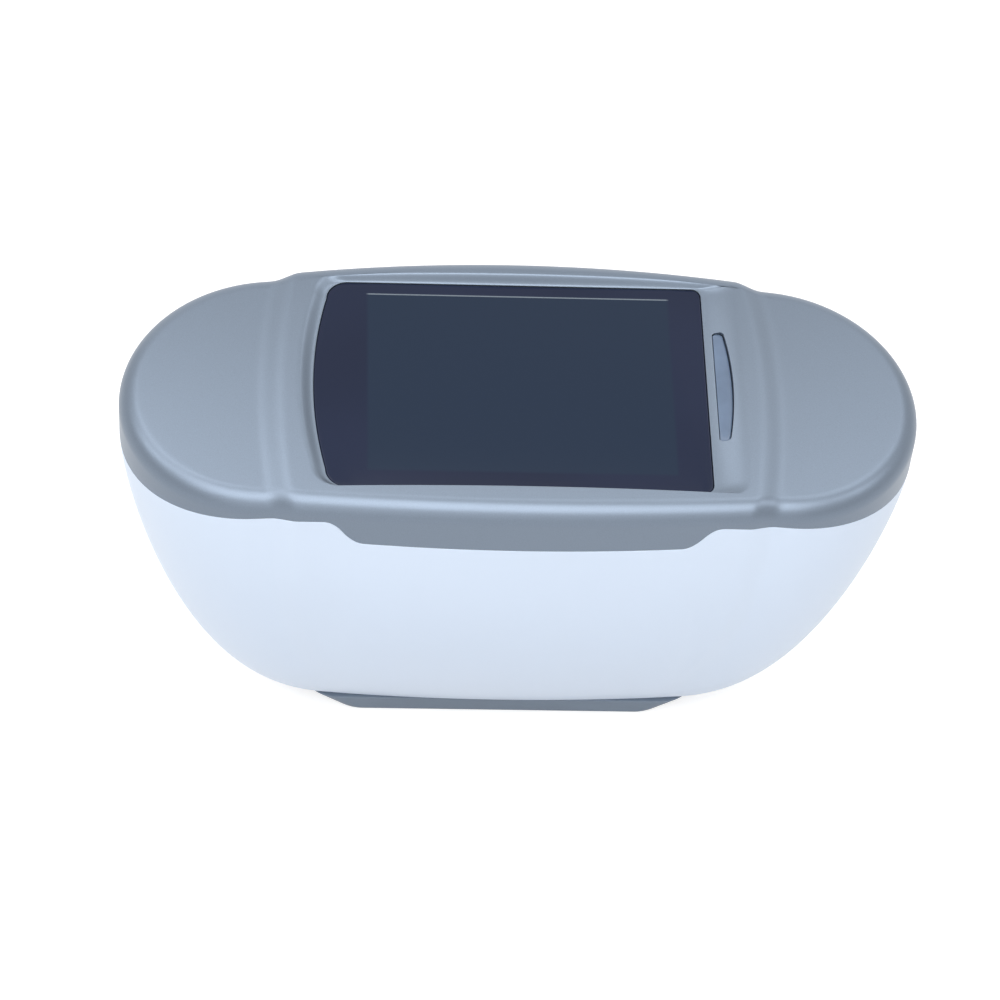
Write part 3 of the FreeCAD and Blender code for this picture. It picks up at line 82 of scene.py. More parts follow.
# Azimuth and elevation in degrees, distance, width and height in metres, and power in watts
LIGHTS = {
    "key_light": (-16.0, 63.0, 1.3, 1.8, 0.95, 17.0),
    "top_light": (-8.0, 111.0, 1.3, 1.6, 0.3, 3.2),
    "front_light": (-8.0, 20.0, 1.5, 1.6, 1.0, 3.0),
    "fill_light": (-100.0, 40.0, 1.5, 0.5, 0.5, 3.0),
    "side_light": (80.0, 40.0, 1.5, 0.5, 0.5, 2.0),
    "back_light": (180.0, 10.0, 1.5, 2.0, 0.9, 2.5),
    "left_rim_light": (-138.0, 54.0, 1.3, 0.5, 0.5, 1.9),
    "right_rim_light": (136.0, 48.0, 1.3, 0.5, 0.5, 1.2),
}


def length(description, millimetres):
    return bpy.props.FloatProperty(
        description=description, default=millimetres * MM, unit="LENGTH", precision=4)


def pair(description, x, y):
    return bpy.props.FloatVectorProperty(
        description=description, default=(x * MM, y * MM), size=2, unit="LENGTH", precision=4)


def number(description, default):
    return bpy.props.FloatProperty(description=description, default=default)


def colour(description, default):
    return bpy.props.FloatVectorProperty(
        description=description, default=default, subtype="COLOR", min=0.0, max=1.0)


class BodySizes(bpy.types.PropertyGroup):
    """Outer form of the cover and of the hull."""
    lobe_half_width: length("Half width of the two round lobes", 36.3)
    end_radius: length("Radius of the round ends in plan", 34.2)
    crown_radius: length("Radius of the long arch of the top", 900.0)
    cross_crown: length("Fall of the top from its middle line to its flanks", 1.3)
    edge_radius: length("Rounding between the top and the skirt", 4.5)
    wall: length("Thickness of the shells", 2.2)
    platform_half_width: length("Half width of the display platform", 38.5)
    platform_radius: length("Radius of the platform's long sides in plan", 678.0)
    lobe_flank_radius: length("Radius of the lobes' long sides in plan", 1491.6)
    platform_step: length("Height of the platform over the lobes", 1.2)
    platform_reach: length("Half length of the platform at its flanks", 53.8)
    platform_bow: length("Outward bow of the platform's ends", 3.6)
    platform_fade: length("Length of the soft step from lobe to platform", 6.4)
    skirt: length("From the highest point down to the seam's crown", 5.2)
    seam_drop: length("Fall of the seam from its crown to the tips", 13.0)
    seam_power: number("Power of the seam's fall towards the tips", 2.7)
    tongue_low: length("From the highest point down to the tongue's lower edge", 13.8)
    tongue_reach: length("Half length of the tongue at its lower edge", 38.3)
    tongue_slope: length("Run of the tongue's slanted ends", 4.4)
    seam_rounding: length("Rounding of the two edges that meet at the seam", 0.15)
    hull_half_length: length("Half length of the hull at the foot", 53.0)
    hull_half_width: length("Half width of the hull at the foot", 17.7)
    length_fall: number("Power that shapes the hull's ends near the seam", 1.4)
    length_power: number("Power that shapes the hull's ends near the foot", 0.46)
    width_fall: number("Power that shapes the hull's flanks near the seam", 2.6)
    width_power: number("Power that shapes the hull's flanks near the foot", 0.9)
    hull_roundness: number("End radius as a share of the half width", 0.91)
    flank_share: number("Platform length left at the foot", 0.6)
    foot_height: length("Thickness of the foot plate", 5.0)
    foot_rounding: length("Rounding of the foot's edges", 0.9)


class DisplaySizes(bpy.types.PropertyGroup):
    """Display glass, its recess and the light bar beside it."""
    glass_left: length("Left edge of the glass", -44.7)
    glass_right: length("Right edge of the glass", 42.6)
    glass_half_width: length("Half width of the glass", 30.5)
    glass_left_radius: length("Corner radius at the left of the glass", 5.0)
    glass_right_radius: length("Corner radius at the right of the glass", 2.2)
    glass_bow: length("Outward bow of the glass's left edge", 2.9)
    glass_edge: length("Rounding of the glass's upper edge", 0.35)
    clearance: length("Gap around the glass and around the light bar", 0.15)
    recess_left: length("Width of the dished border at the left", 3.4)
    recess_right: length("Width of the dished border at the right", 8.2)
    glass_shift: length("How far behind the middle line the glass lies", 0.7)
    recess_near: length("Width of the dished border at the near side", 0.9)
    recess_far: length("Width of the dished border at the far side", 2.0)
    lit_left: length("Left edge of the display's lit area", -35.3)
    lit_right: length("Right edge of the display's lit area", 34.8)
    lit_near: length("Near edge of the display's lit area", -24.8)
    lit_far: length("Far edge of the display's lit area", 27.8)
    bar_left: length("Straight edge of the light bar", 44.8)
    bar_centre: length("Light bar's centre behind the middle line", 1.3)
    bar_end_width: length("Width of the light bar at its ends", 2.2)
    bar_bulge: length("How much wider the light bar is in its middle", 1.5)
    bar_half_length: length("Half length of the light bar", 16.3)
    bar_rise: length("Height of the light bar over the glass", 0.275)


class FittingSizes(bpy.types.PropertyGroup):
    """Posts, screws, pins and openings, with places as distances from the middle."""
    cover_posts: pair("Places of the posts under the cover", 42.0, 12.5)
    frame_posts: pair("Places of the display frame's posts", 43.4, 26.5)
    carrier_posts: pair("Places of the carrier's posts", 52.4, 14.4)
    pins: pair("Places of the contact pins", 25.0, 12.2)
    foot_screws: pair("Places of the foot screws", 33.0, 12.6)
    window: pair("Half length and half width of the opening under the glass", 36.0, 27.3)
    post_meeting: length("Height where the cover's posts meet the hull's", 84.0)
    hull_opening: length("Radius of the hull's round opening", 15.2)
    foot_opening: length("Radius of the foot's round opening", 16.8)
    foot_corner: length("Radius of the foot's corners in plan", 9.0)
    foot_slope: length("Run of the foot's slanted ends", 7.0)
    gasket_outer: length("From the outside to the gasket's groove", 0.6)
    gasket_inner: length("From the outside to the groove's inner wall", 1.6)
    gasket_depth: length("Depth of the gasket's groove", 0.8)


class Finishes(bpy.types.PropertyGroup):
    """Colours of the finishes."""
    white: colour("Moulded white plastic of the hull", (0.665, 0.763, 0.91))
    silver: colour("Satin silver paint of the cover", (0.165, 0.202, 0.254))
    foot: colour("Textured grey plastic of the foot", (0.17, 0.212, 0.27))
    glass: colour("Dark print behind the display glass", (0.012, 0.017, 0.038))
    light_bar: colour("Smoky blue light guide", (0.14, 0.195, 0.29))
    keys: colour("Satin grey of the two keys", (0.30, 0.33, 0.37))


class StageSettings(bpy.types.PropertyGroup):
    """Camera and light."""
    elevation: number("Height of the camera over the horizon, in degrees", 51.32)
    azimuth: number("Turn of the camera round the object, in degrees", -5.64)
    roll: number("Turn of the camera about its own axis, in degrees", 5.43)
    distance: length("From the camera to its target", 908.6)
    focal_pixels: number("Focal length in pixels of the square picture", 3825.0)
    offset_right: number("Pixels from the picture's middle to the target, rightwards", 10.8)
    offset_down: number("Pixels from the picture's middle to the target, downwards", 3.9)
    target_height: length("Height of the point that the camera looks at", 60.0)
    picture: number("Side of the square picture, in pixels", 1000.0)


def sizes():
    return bpy.context.scene.spectro_body


def display():
    return bpy.context.scene.spectro_display


def fittings():
    return bpy.context.scene.spectro_fittings


def tint(name):
    return tuple(getattr(bpy.context.scene.spectro_finishes, name))


# Outlines in plan

def smooth_step(share):
    """0 below 0, 1 above 1, and 3 s squared minus 2 s cubed between them."""
    s = np.clip(share, 0.0, 1.0)
    return s * s * (3.0 - 2.0 * s)


def smooth_min(one, other, reach):
    """Smaller of two values, with the corner between them rounded over a reach."""
    near = np.maximum(reach - np.abs(one - other), 0.0) / reach
    return np.minimum(one, other) - near * near * reach / 4.0


def sag(x, radius):
    """Drop of a wide arch at a distance from its middle: r minus the root of r squared minus x squared."""
    return radius - np.sqrt(radius * radius - x * x)


def oval(half_length, half_width, end_radius):
    """Points and outward normals of an oval of four tangent arcs, anticlockwise from the near left.

    The long side arcs have their centres on the middle line, at drop = (run^2 - rise^2) / (2 rise) beyond
    it, where run and rise are the half length and half width less the end radius. Inputs may be columns,
    one row for each section.
    """
    run = half_length - end_radius
    rise = half_width - end_radius
    drop = (run * run - rise * rise) / (2.0 * rise)
    side_radius = half_width + drop
    split = np.arctan2(run, drop)
    side = np.linspace(-1.0, 1.0, SIDE_POINTS, endpoint=False)
    end = np.linspace(-1.0, 1.0, END_POINTS, endpoint=False)
    lean = split * side
    turn = (math.pi / 2.0 - split) * end
    near = np.stack([np.sin(lean), -np.cos(lean)], -1)
    right = np.stack([np.cos(turn), np.sin(turn)], -1)
    arcs = [(0.0, drop, side_radius, near), (run, 0.0, end_radius, right),
            (0.0, -drop, side_radius, -near), (-run, 0.0, end_radius, -right)]
    points = [np.stack([x + normal[..., 0] * radius, y + normal[..., 1] * radius], -1)
              for x, y, radius, normal in arcs]
    return np.concatenate(points, -2), np.concatenate([near, right, -near, -right], -2)


def even_loop(outline, anchors):
    """Closed polyline resampled evenly between four anchors, which match the four arcs of the oval."""
    loop = np.vstack([outline, outline[:1]])
    walked = np.concatenate([[0.0], np.cumsum(np.linalg.norm(np.diff(loop, axis=0), axis=1))])
    marks = [walked[index] for index in anchors] + [walked[-1]]
    stops = np.concatenate([np.linspace(start, stop, count, endpoint=False)
                            for start, stop, count in zip(marks, marks[1:], ARC_POINTS)])
    return np.stack([np.interp(stops, walked, loop[:, axis]) for axis in (0, 1)], -1)


def rounded_loop(left, right, half_width, left_radius, right_radius, bow=0.0):
    """Rounded rectangle whose left edge bows outwards by bow (1 - (y / straight half)^2)."""
    half_turn, run_points = 16, 24
    spots = [(left + left_radius, -1, left_radius, 225.0), (right - right_radius, -1, right_radius, 270.0),
             (right - right_radius, 1, right_radius, 0.0), (left + left_radius, 1, left_radius, 90.0),
             (left + left_radius, -1, left_radius, 180.0)]
    arcs = []
    for index, (x, side, radius, start) in enumerate(spots):
        is_half = index in (0, len(spots) - 1)
        steps = half_turn if is_half else 2 * half_turn
        angle = np.radians(start + np.linspace(0.0, 45.0 if is_half else 90.0, steps + 1))
        centre_y = side * (half_width - radius)
        arcs.append(np.stack([x + radius * np.cos(angle), centre_y + radius * np.sin(angle)], -1))
    points = np.vstack(arcs)[:-1]
    straight = half_width - left_radius
    runs = []
    for start, stop in zip(points, np.roll(points, -1, 0)):
        runs.append(start + (stop - start) * np.linspace(0.0, 1.0, run_points, endpoint=False)[:, None])
    dense = np.vstack(runs)
    bulge = np.maximum(1.0 - (dense[:, 1] / straight) ** 2, 0.0) * (dense[:, 0] < left + left_radius / 2.0)
    dense[:, 0] -= bow * bulge
    per_corner = run_points * (2 * half_turn + 1)
    return even_loop(dense, [per_corner * corner for corner in range(4)])


def quarter_round(radius, steps):
    """Pairs on a quarter circle, without the first: r (1 - cos a) inwards and r (1 - sin a) below the top."""
    angle = np.linspace(0.0, math.pi / 2.0, steps)[1:]
    return zip(radius * (1.0 - np.cos(angle)), radius * (1.0 - np.sin(angle)))


def round_loop(radius):
    """Circle with its points matched to the four arcs of the oval."""
    quarters = [np.linspace(start, start + 90.0, count, endpoint=False)
                for start, count in zip((-135.0, -45.0, 45.0, 135.0), ARC_POINTS)]
    angle = np.radians(np.concatenate(quarters))
    return radius * np.stack([np.cos(angle), np.sin(angle)], -1)


def glass_loop(outset):
    """Edge of the display glass, moved outwards."""
    d = display()
    loop = rounded_loop(d.glass_left - outset, d.glass_right + outset, d.glass_half_width + outset,
                        d.glass_left_radius + outset, d.glass_right_radius + outset, d.glass_bow)
    return loop + [0.0, d.glass_shift]


def mouth_loop():
    """Outer edge of the dished border around the glass, kept inside the platform's rounded flanks."""
    b, d = sizes(), display()
    side = (d.recess_near + d.recess_far) / 2.0
    loop = rounded_loop(d.glass_left - d.recess_left, d.glass_right + d.recess_right,
                        d.glass_half_width + side, d.glass_left_radius + side,
                        d.glass_right_radius + side, d.glass_bow)
    loop[:, 1] += d.glass_shift + (d.recess_far - d.recess_near) / 2.0
    flank = b.platform_half_width - sag(loop[:, 0], b.platform_radius) - b.edge_radius
    loop[:, 1] = smooth_min(loop[:, 1], flank - d.clearance, MM)
    return loop


# Height fields of the cover

def platform_share(x, y):
    """How much of the raised platform there is at a place: a smooth step across its bowed end line."""
    b = sizes()
    edge = b.platform_reach + b.platform_bow * (1.0 - (y / b.platform_half_width) ** 2)
    return smooth_step((edge - np.abs(x)) / b.platform_fade + 0.5)


def top_level(x, y):
    """Height of the cover: a long arch, a crown across it by the square of y, and the platform's step.

    The crown is level with the highest point beside the near edge of the glass's border.
    """
    b, d = sizes(), display()
    beside = d.glass_half_width + d.recess_near - d.glass_shift
    crown = b.cross_crown * (beside * beside - y * y) / (b.platform_half_width * b.platform_half_width)
    return CAD_HIGH.z - sag(x, b.crown_radius) + crown - b.platform_step * (1.0 - platform_share(x, y))


def seam_level(x):
    """Height of the seam: it falls by drop (|x| / half length)^power, and the tongue hangs from it."""
    b = sizes()
    arch = CAD_HIGH.z - b.skirt - b.seam_drop * (np.abs(x) / CAD_HIGH.x) ** b.seam_power
    tongue = CAD_HIGH.z - b.tongue_low
    softness = 0.55
    ramp = (b.tongue_reach + b.tongue_slope - np.abs(x)) / b.tongue_slope
    rounded = -smooth_min(-smooth_min(ramp, 1.0, softness), 0.0, softness)
    return arch + (tongue - arch) * np.clip(rounded, 0.0, 1.0)


def flank_bulge(points, platform_half, lobe_half, reach):
    """Sideways shift of the outline where the wider platform stands out from the lobes."""
    b = sizes()
    x = points[..., 0]
    share = smooth_step((reach - np.abs(x)) / b.platform_fade + 0.5)
    middle = platform_half - sag(np.minimum(np.abs(x), b.platform_reach), b.platform_radius)
    lobe = lobe_half - sag(np.minimum(np.abs(x), b.platform_reach), b.lobe_flank_radius)
    return np.sign(points[..., 1]) * share * np.maximum(middle - lobe, 0.0)


def cover_outline(inset):
    """Outline of the cover, moved inwards along its normals."""
    b = sizes()
    points, normals = oval(CAD_HIGH.x, b.lobe_half_width, b.end_radius)
    placed = points - normals * inset
    placed[:, 1] += flank_bulge(placed, b.platform_half_width, b.lobe_half_width, b.platform_reach)
    return placed


def hull_ring(shares, inset, foot):
    """Rings of the hull, one row for each share of its height, as points in space.

    The half length and half width grow as (1 - (1 - s)^fall)^power of the share s, and the platform's
    bulge grows with the width while its reach shrinks towards the foot.
    """
    b = sizes()
    growth = ((1.0 - (1.0 - shares) ** b.width_fall) ** b.width_power)[:, None]
    stretch = ((1.0 - (1.0 - shares) ** b.length_fall) ** b.length_power)[:, None]
    half_length = b.hull_half_length + (CAD_HIGH.x - b.hull_half_length) * stretch
    half_width = b.hull_half_width + (b.lobe_half_width - b.hull_half_width) * growth
    roundness = b.hull_roundness + (b.end_radius / b.lobe_half_width - b.hull_roundness) * growth
    points, normals = oval(half_length, half_width, half_width * roundness)
    placed = points - normals * inset
    platform_half = b.hull_half_width + (b.platform_half_width - b.hull_half_width) * growth
    reach = b.platform_reach * (b.flank_share + (1.0 - b.flank_share) * growth)
    placed[..., 1] += flank_bulge(placed, platform_half, half_width, reach) * growth
    level = foot + (seam_level(placed[..., 0]) - foot) * shares[:, None]
    return np.concatenate([placed, level[..., None]], -1)


# Meshes

def lift(points, level):
    """Points in plan raised to a height, or to one height for each point."""
    return np.concatenate([points, np.broadcast_to(np.asarray(level, float), points.shape[:1])[:, None]], 1)


def between(start, stop, count):
    """Rings spread evenly between two, without the first."""
    shares = np.linspace(0.0, 1.0, count + 1)[1:, None, None]
    return start + (stop - start) * shares


def ring_faces(rows, columns, closed):
    """Quads between neighbouring rings; the rings are closed, and so is their row if it is asked for."""
    row = np.arange(rows if closed else rows - 1)[:, None]
    column = np.arange(columns)[None, :]
    after = (column + 1) % columns
    below = (row + 1) % rows
    return np.stack([row * columns + column, row * columns + after,
                     below * columns + after, below * columns + column], -1).reshape(-1, 4)


def signed_volume(points, faces):
    """Volume inside quads, which is negative if they face inwards."""
    first, second, third, fourth = (points[faces[:, corner]] for corner in range(4))
    return (first * (np.cross(second, third) + np.cross(third, fourth))).sum() / 6.0


def new_piece(name, points, faces, caps=()):
    """Mesh object from points, quads and end caps, with its faces turned outwards."""
    if signed_volume(points, faces) < 0.0:
        faces = faces[:, ::-1]
        caps = [cap[::-1] for cap in caps]
    mesh = bpy.data.meshes.new(name)
    mesh.from_pydata(points.tolist(), [], faces.tolist() + [list(cap) for cap in caps])
    mesh.validate()
    piece = bpy.data.objects.new(name, mesh)
    bpy.context.scene.collection.objects.link(piece)
    return piece


def ring_piece(name, rings, closed=True):
    """Piece from a stack of rings: a closed tube of rings, or a stack with flat caps."""
    rows, columns = rings.shape[:2]
    faces = ring_faces(rows, columns, closed)
    caps = () if closed else (np.arange(columns)[::-1], np.arange(columns) + (rows - 1) * columns)
    return new_piece(name, rings.reshape(-1, 3), faces, caps)


def shade(piece):
    """Smooth shading that keeps the sharp edges."""
    piece.data.polygons.foreach_set("use_smooth", np.ones(len(piece.data.polygons), bool))
    piece.data.set_sharp_from_angle(angle=math.radians(SHARP_ANGLE))
    piece.data.update()


def discard(piece):
    """Remove an object and its mesh."""
    used = piece.data
    bpy.data.objects.remove(piece)
    bpy.data.meshes.remove(used)


def with_boolean(piece, tool, operation):
    """Apply a boolean with a tool, which is then removed."""
    modifier = piece.modifiers.new("boolean", "BOOLEAN")
    modifier.operation = operation
    modifier.solver = "EXACT"
    modifier.object = tool
    bpy.context.view_layer.update()
    graph = bpy.context.evaluated_depsgraph_get()
    made = bpy.data.meshes.new_from_object(piece.evaluated_get(graph))
    piece.modifiers.clear()
    old = piece.data
    piece.data = made
    bpy.data.meshes.remove(old)
    discard(tool)


def joined(name, pieces):
    """One object with the meshes of several, none of which touch."""
    points, faces, start = [], [], 0
    for piece in pieces:
        points += [tuple(vertex.co) for vertex in piece.data.vertices]
        faces += [[start + index for index in polygon.vertices] for polygon in piece.data.polygons]
        start = len(points)
        discard(piece)
    mesh = bpy.data.meshes.new(name)
    mesh.from_pydata(points, [], faces)
    whole = bpy.data.objects.new(name, mesh)
    bpy.context.scene.collection.objects.link(whole)
    return whole


def turned_piece(name, profile, x, y, steps=48):
    """Solid of revolution about an upright axis from (radius, height) pairs."""
    angle = np.linspace(0.0, 2.0 * math.pi, steps, endpoint=False)
    radius, height = np.asarray(profile, float).T[:, :, None]
    rings = np.stack([radius * np.cos(angle), radius * np.sin(angle),
                      np.broadcast_to(height, (len(profile), steps))], -1)
    return ring_piece(name, rings + [x, y, 0.0], closed=False)


def corners(x, y):
    """Four places that mirror each other across both middle lines."""
    return [(a * x, b * y) for a in (1, -1) for b in (1, -1)]


def rods(name, place, radius, low, high):
    """Four equal upright rods in one object."""
    profile = [(radius, low), (radius, high)]
    return joined(name, [turned_piece(name, profile, x, y, 40) for x, y in corners(*place)])


def slot_profile(half_length, half_width, radius, steps=12):
    """Rounded rectangle as a closed outline of points, anticlockwise."""
    spots = ((1, 1, 0.0), (-1, 1, 90.0), (-1, -1, 180.0), (1, -1, 270.0))
    arcs = []
    for side_x, side_y, start in spots:
        angle = np.radians(start + np.linspace(0.0, 90.0, steps))
        arcs.append(np.stack([side_x * (half_length - radius) + radius * np.cos(angle),
                              side_y * (half_width - radius) + radius * np.sin(angle)], -1))
    return np.vstack(arcs)


# Finishes

def combined(tree, operation, one, other):
    """Output of a maths node that has two others' outputs as its inputs."""
    node = tree.nodes.new("ShaderNodeMath")
    node.operation = operation
    tree.links.new(one, node.inputs[0])
    tree.links.new(other, node.inputs[1])
    return node.outputs["Value"]


class Nodes:
    """Small helper that adds linked nodes to a material."""

    def __init__(self, name):
        self.material = bpy.data.materials.new(name)
        self.material.use_nodes = True
        self.tree = self.material.node_tree
        self.shader = self.tree.nodes["Principled BSDF"]
        self.place = self.add("ShaderNodeTexCoord").outputs["Object"]

    def add(self, kind, **inputs):
        node = self.tree.nodes.new(kind)
        for key, value in inputs.items():
            self.set(node.inputs[key.replace("_", " ").title()], value)
        return node

    def set(self, socket, value):
        if isinstance(value, bpy.types.NodeSocket):
            self.tree.links.new(value, socket)
        else:
            socket.default_value = value

    def noise(self, scale, detail=2.0, roughness=0.5):
        node = self.add("ShaderNodeTexNoise", vector=self.place, scale=scale, detail=detail,
                        roughness=roughness)
        return node.outputs["Fac"]

    def ramp(self, factor, low, high, start=0.3, stop=0.7):
        """Value that runs from low to high as the factor runs from start to stop."""
        node = self.add("ShaderNodeMapRange", value=factor, from_min=start, from_max=stop, to_min=low,
                        to_max=high)
        return node.outputs["Result"]

    def shades(self, factor, first, second):
        """Colour between two shades, each a colour or another node's output."""
        node = self.tree.nodes.new("ShaderNodeMix")
        node.data_type = "RGBA"
        self.tree.links.new(factor, node.inputs["Factor"])
        ends = [socket for socket in node.inputs if socket.type == "RGBA"]
        for socket, value in zip(ends, (first, second)):
            self.set(socket, (*value, 1.0) if isinstance(value, tuple) else value)
        return next(out for out in node.outputs if out.type == "RGBA")

    def drift(self, factor, base, low, high):
        """Colour that runs from low to high times a base colour."""
        return self.shades(self.ramp(factor, 0.0, 1.0), scaled(base, low), scaled(base, high))

    def bump(self, height, distance, strength):
        node = self.add("ShaderNodeBump", height=height, distance=distance, strength=strength)
        self.tree.links.new(node.outputs["Normal"], self.shader.inputs["Normal"])

    def finish(self, **sockets):
        for key, value in sockets.items():
            self.set(self.shader.inputs[key.replace("_", " ")], value)
        return self.material


def scaled(colour_value, factor):
    return tuple(min(channel * factor, 1.0) for channel in colour_value)


# Base colour or tint, its variation, the drift's scale, roughness, and the grain's scale, depth and strength
PLAIN_FINISHES = {
    "white_plastic": ("white", 0.012, 22.0, 0.36, (2600.0, 0.00002, 0.3)),
    "foot_plastic": ("foot", 0.05, 60.0, 0.52, (1500.0, 0.00006, 0.6)),
    "key_plastic": ("keys", 0.03, 90.0, 0.4, (2200.0, 0.00003, 0.4)),
    "seal_rubber": ((0.02, 0.02, 0.022), 0.1, 200.0, 0.7, (3000.0, 0.00003, 0.5)),
    "black_metal": ((0.022, 0.022, 0.025), 0.12, 120.0, 0.42, (2600.0, 0.00003, 0.5)),
    "chip_black": ((0.018, 0.018, 0.02), 0.1, 300.0, 0.48, (4000.0, 0.00002, 0.5)),
    "lamp_white": ((0.85, 0.84, 0.72), 0.03, 200.0, 0.3, (3000.0, 0.00001, 0.2)),
    "battery_wrap": ((0.03, 0.11, 0.28), 0.05, 60.0, 0.3, (500.0, 0.00006, 0.3)),
    "tray_plastic": ((0.028, 0.028, 0.03), 0.08, 90.0, 0.5, (2200.0, 0.00004, 0.5)),
    "guide_sleeve": ((0.02, 0.02, 0.022), 0.1, 150.0, 0.45, (1800.0, 0.00004, 0.5)),
}
EXTRA_SOCKETS = {"white_plastic": {"Specular_IOR_Level": 0.45}, "black_metal": {"Metallic": 0.6}}


def plain_finish(name):
    """Moulded or painted finish: a slow drift of shade, an uneven gloss and a fine grain in the surface."""
    base, variation, scale, roughness, grain = PLAIN_FINISHES[name]
    if isinstance(base, str):
        base = tint(base)
    n = Nodes(name)
    slow = n.noise(scale, 3.0)
    fine = n.noise(grain[0], 3.0, 0.6)
    n.bump(fine, grain[1], grain[2])
    tone = n.drift(slow, base, 1.0 - variation, 1.0 + variation)
    uneven = n.ramp(slow, roughness - 0.03, roughness + 0.03)
    return n.finish(Base_Color=tone, Roughness=uneven, **EXTRA_SOCKETS.get(name, {}))


def silver_paint():
    base = tint("silver")
    n = Nodes("silver_paint")
    slow = n.noise(14.0, 2.0)
    flake = n.noise(5200.0, 2.0, 0.7)
    orange_peel = n.noise(900.0, 2.0)
    n.bump(orange_peel, 0.00002, 0.25)
    tone = n.drift(flake, base, 0.93, 1.07)
    return n.finish(Base_Color=tone, Roughness=n.ramp(slow, 0.37, 0.43), Metallic=0.8)


def display_print():
    """Dark print seen through the cover glass, with the faint field and the thin far line of the lit area."""
    d = display()
    base = tint("glass")
    n = Nodes("display_print")
    split = n.add("ShaderNodeSeparateXYZ", vector=n.place)
    x, y = split.outputs["X"], split.outputs["Y"]

    def both(one, other):
        return combined(n.tree, "MULTIPLY", one, other)

    def inside(value, low, high, feather):
        """1 between two limits and 0 beyond them, with soft ends."""
        return both(n.ramp(value, 0.0, 1.0, low - feather, low + feather),
                    n.ramp(value, 0.0, 1.0, high + feather, high - feather))

    edge, line_half, line_edge = 0.4 * MM, 0.15 * MM, 0.1 * MM
    across = inside(x, d.lit_left, d.lit_right, edge)
    field = both(across, inside(y, d.lit_near, d.lit_far, edge))
    line = both(across, inside(y, d.lit_far - line_half, d.lit_far + line_half, line_edge))
    ground = n.drift(n.noise(26.0, 1.0), base, 0.92, 1.1)
    lit = tuple(channel * gain for channel, gain in zip(base, (1.05, 1.3, 1.12)))
    with_line = n.shades(line, n.shades(field, ground, lit), (0.16, 0.19, 0.22))
    return n.finish(Base_Color=with_line, Roughness=0.12, Specular_IOR_Level=0.15)


def smoky_guide():
    base = tint("light_bar")
    n = Nodes("smoky_guide")
    tone = n.drift(n.noise(160.0, 2.0), base, 0.92, 1.12)
    n.bump(n.noise(900.0), 0.00002, 0.2)
    return n.finish(Base_Color=tone, Roughness=0.22, Transmission_Weight=0.25, IOR=1.49)


def brushed(name, base, roughness, stretch=(4.0, 400.0, 400.0)):
    """Metal with fine lines along X."""
    n = Nodes(name)
    stretched = n.add("ShaderNodeMapping", vector=n.place, scale=stretch).outputs["Vector"]
    fine = n.add("ShaderNodeTexNoise", vector=stretched, scale=6.0, detail=3.0).outputs["Fac"]
    n.bump(fine, 0.00001, 0.4)
    tone = n.drift(fine, base, 0.88, 1.1)
    return n.finish(Base_Color=tone, Roughness=n.ramp(fine, roughness - 0.06, roughness + 0.06), Metallic=1.0)


def circuit_board():
    """Green solder mask with a faint weave of tracks under it."""
    n = Nodes("circuit_board")
    tracks = n.add("ShaderNodeTexVoronoi", vector=n.place, scale=420.0)
    tracks.distance = "MANHATTAN"
    pattern = tracks.outputs["Distance"]
    tone = n.shades(n.ramp(pattern, 0.0, 1.0), (0.012, 0.11, 0.05), (0.03, 0.2, 0.09))
    n.bump(pattern, 0.00003, 0.3)
    return n.finish(Base_Color=tone, Roughness=0.34)


def clear_glass():
    n = Nodes("clear_glass")
    smear = n.noise(120.0, 2.0)
    return n.finish(Base_Color=(0.93, 0.96, 1.0, 1.0), Roughness=n.ramp(smear, 0.02, 0.06),
                    Transmission_Weight=0.9, IOR=1.5)


OTHER_FINISHES = {
    "clear_optic": clear_glass,
    "steel": lambda: brushed("steel", (0.56, 0.57, 0.58), 0.26),
    "board_green": circuit_board,
    "brass": lambda: brushed("brass", (0.62, 0.45, 0.2), 0.3, (300.0, 300.0, 12.0)),
}


def inner_finish(kind):
    """Finish for a material slot, or None for the slots that the new pieces have."""
    if kind in PLAIN_FINISHES:
        return plain_finish(kind)
    return OTHER_FINISHES[kind]() if kind in OTHER_FINISHES else None


def dress(piece, material):
    piece.data.materials.clear()
    piece.data.materials.append(material)


def add_piece(piece, body, node, material):
    """Shade and finish a piece, let it ride on its body and stand for its CAD node."""
    shade(piece)
    dress(piece, material)
    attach(piece, body)
    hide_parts(node)


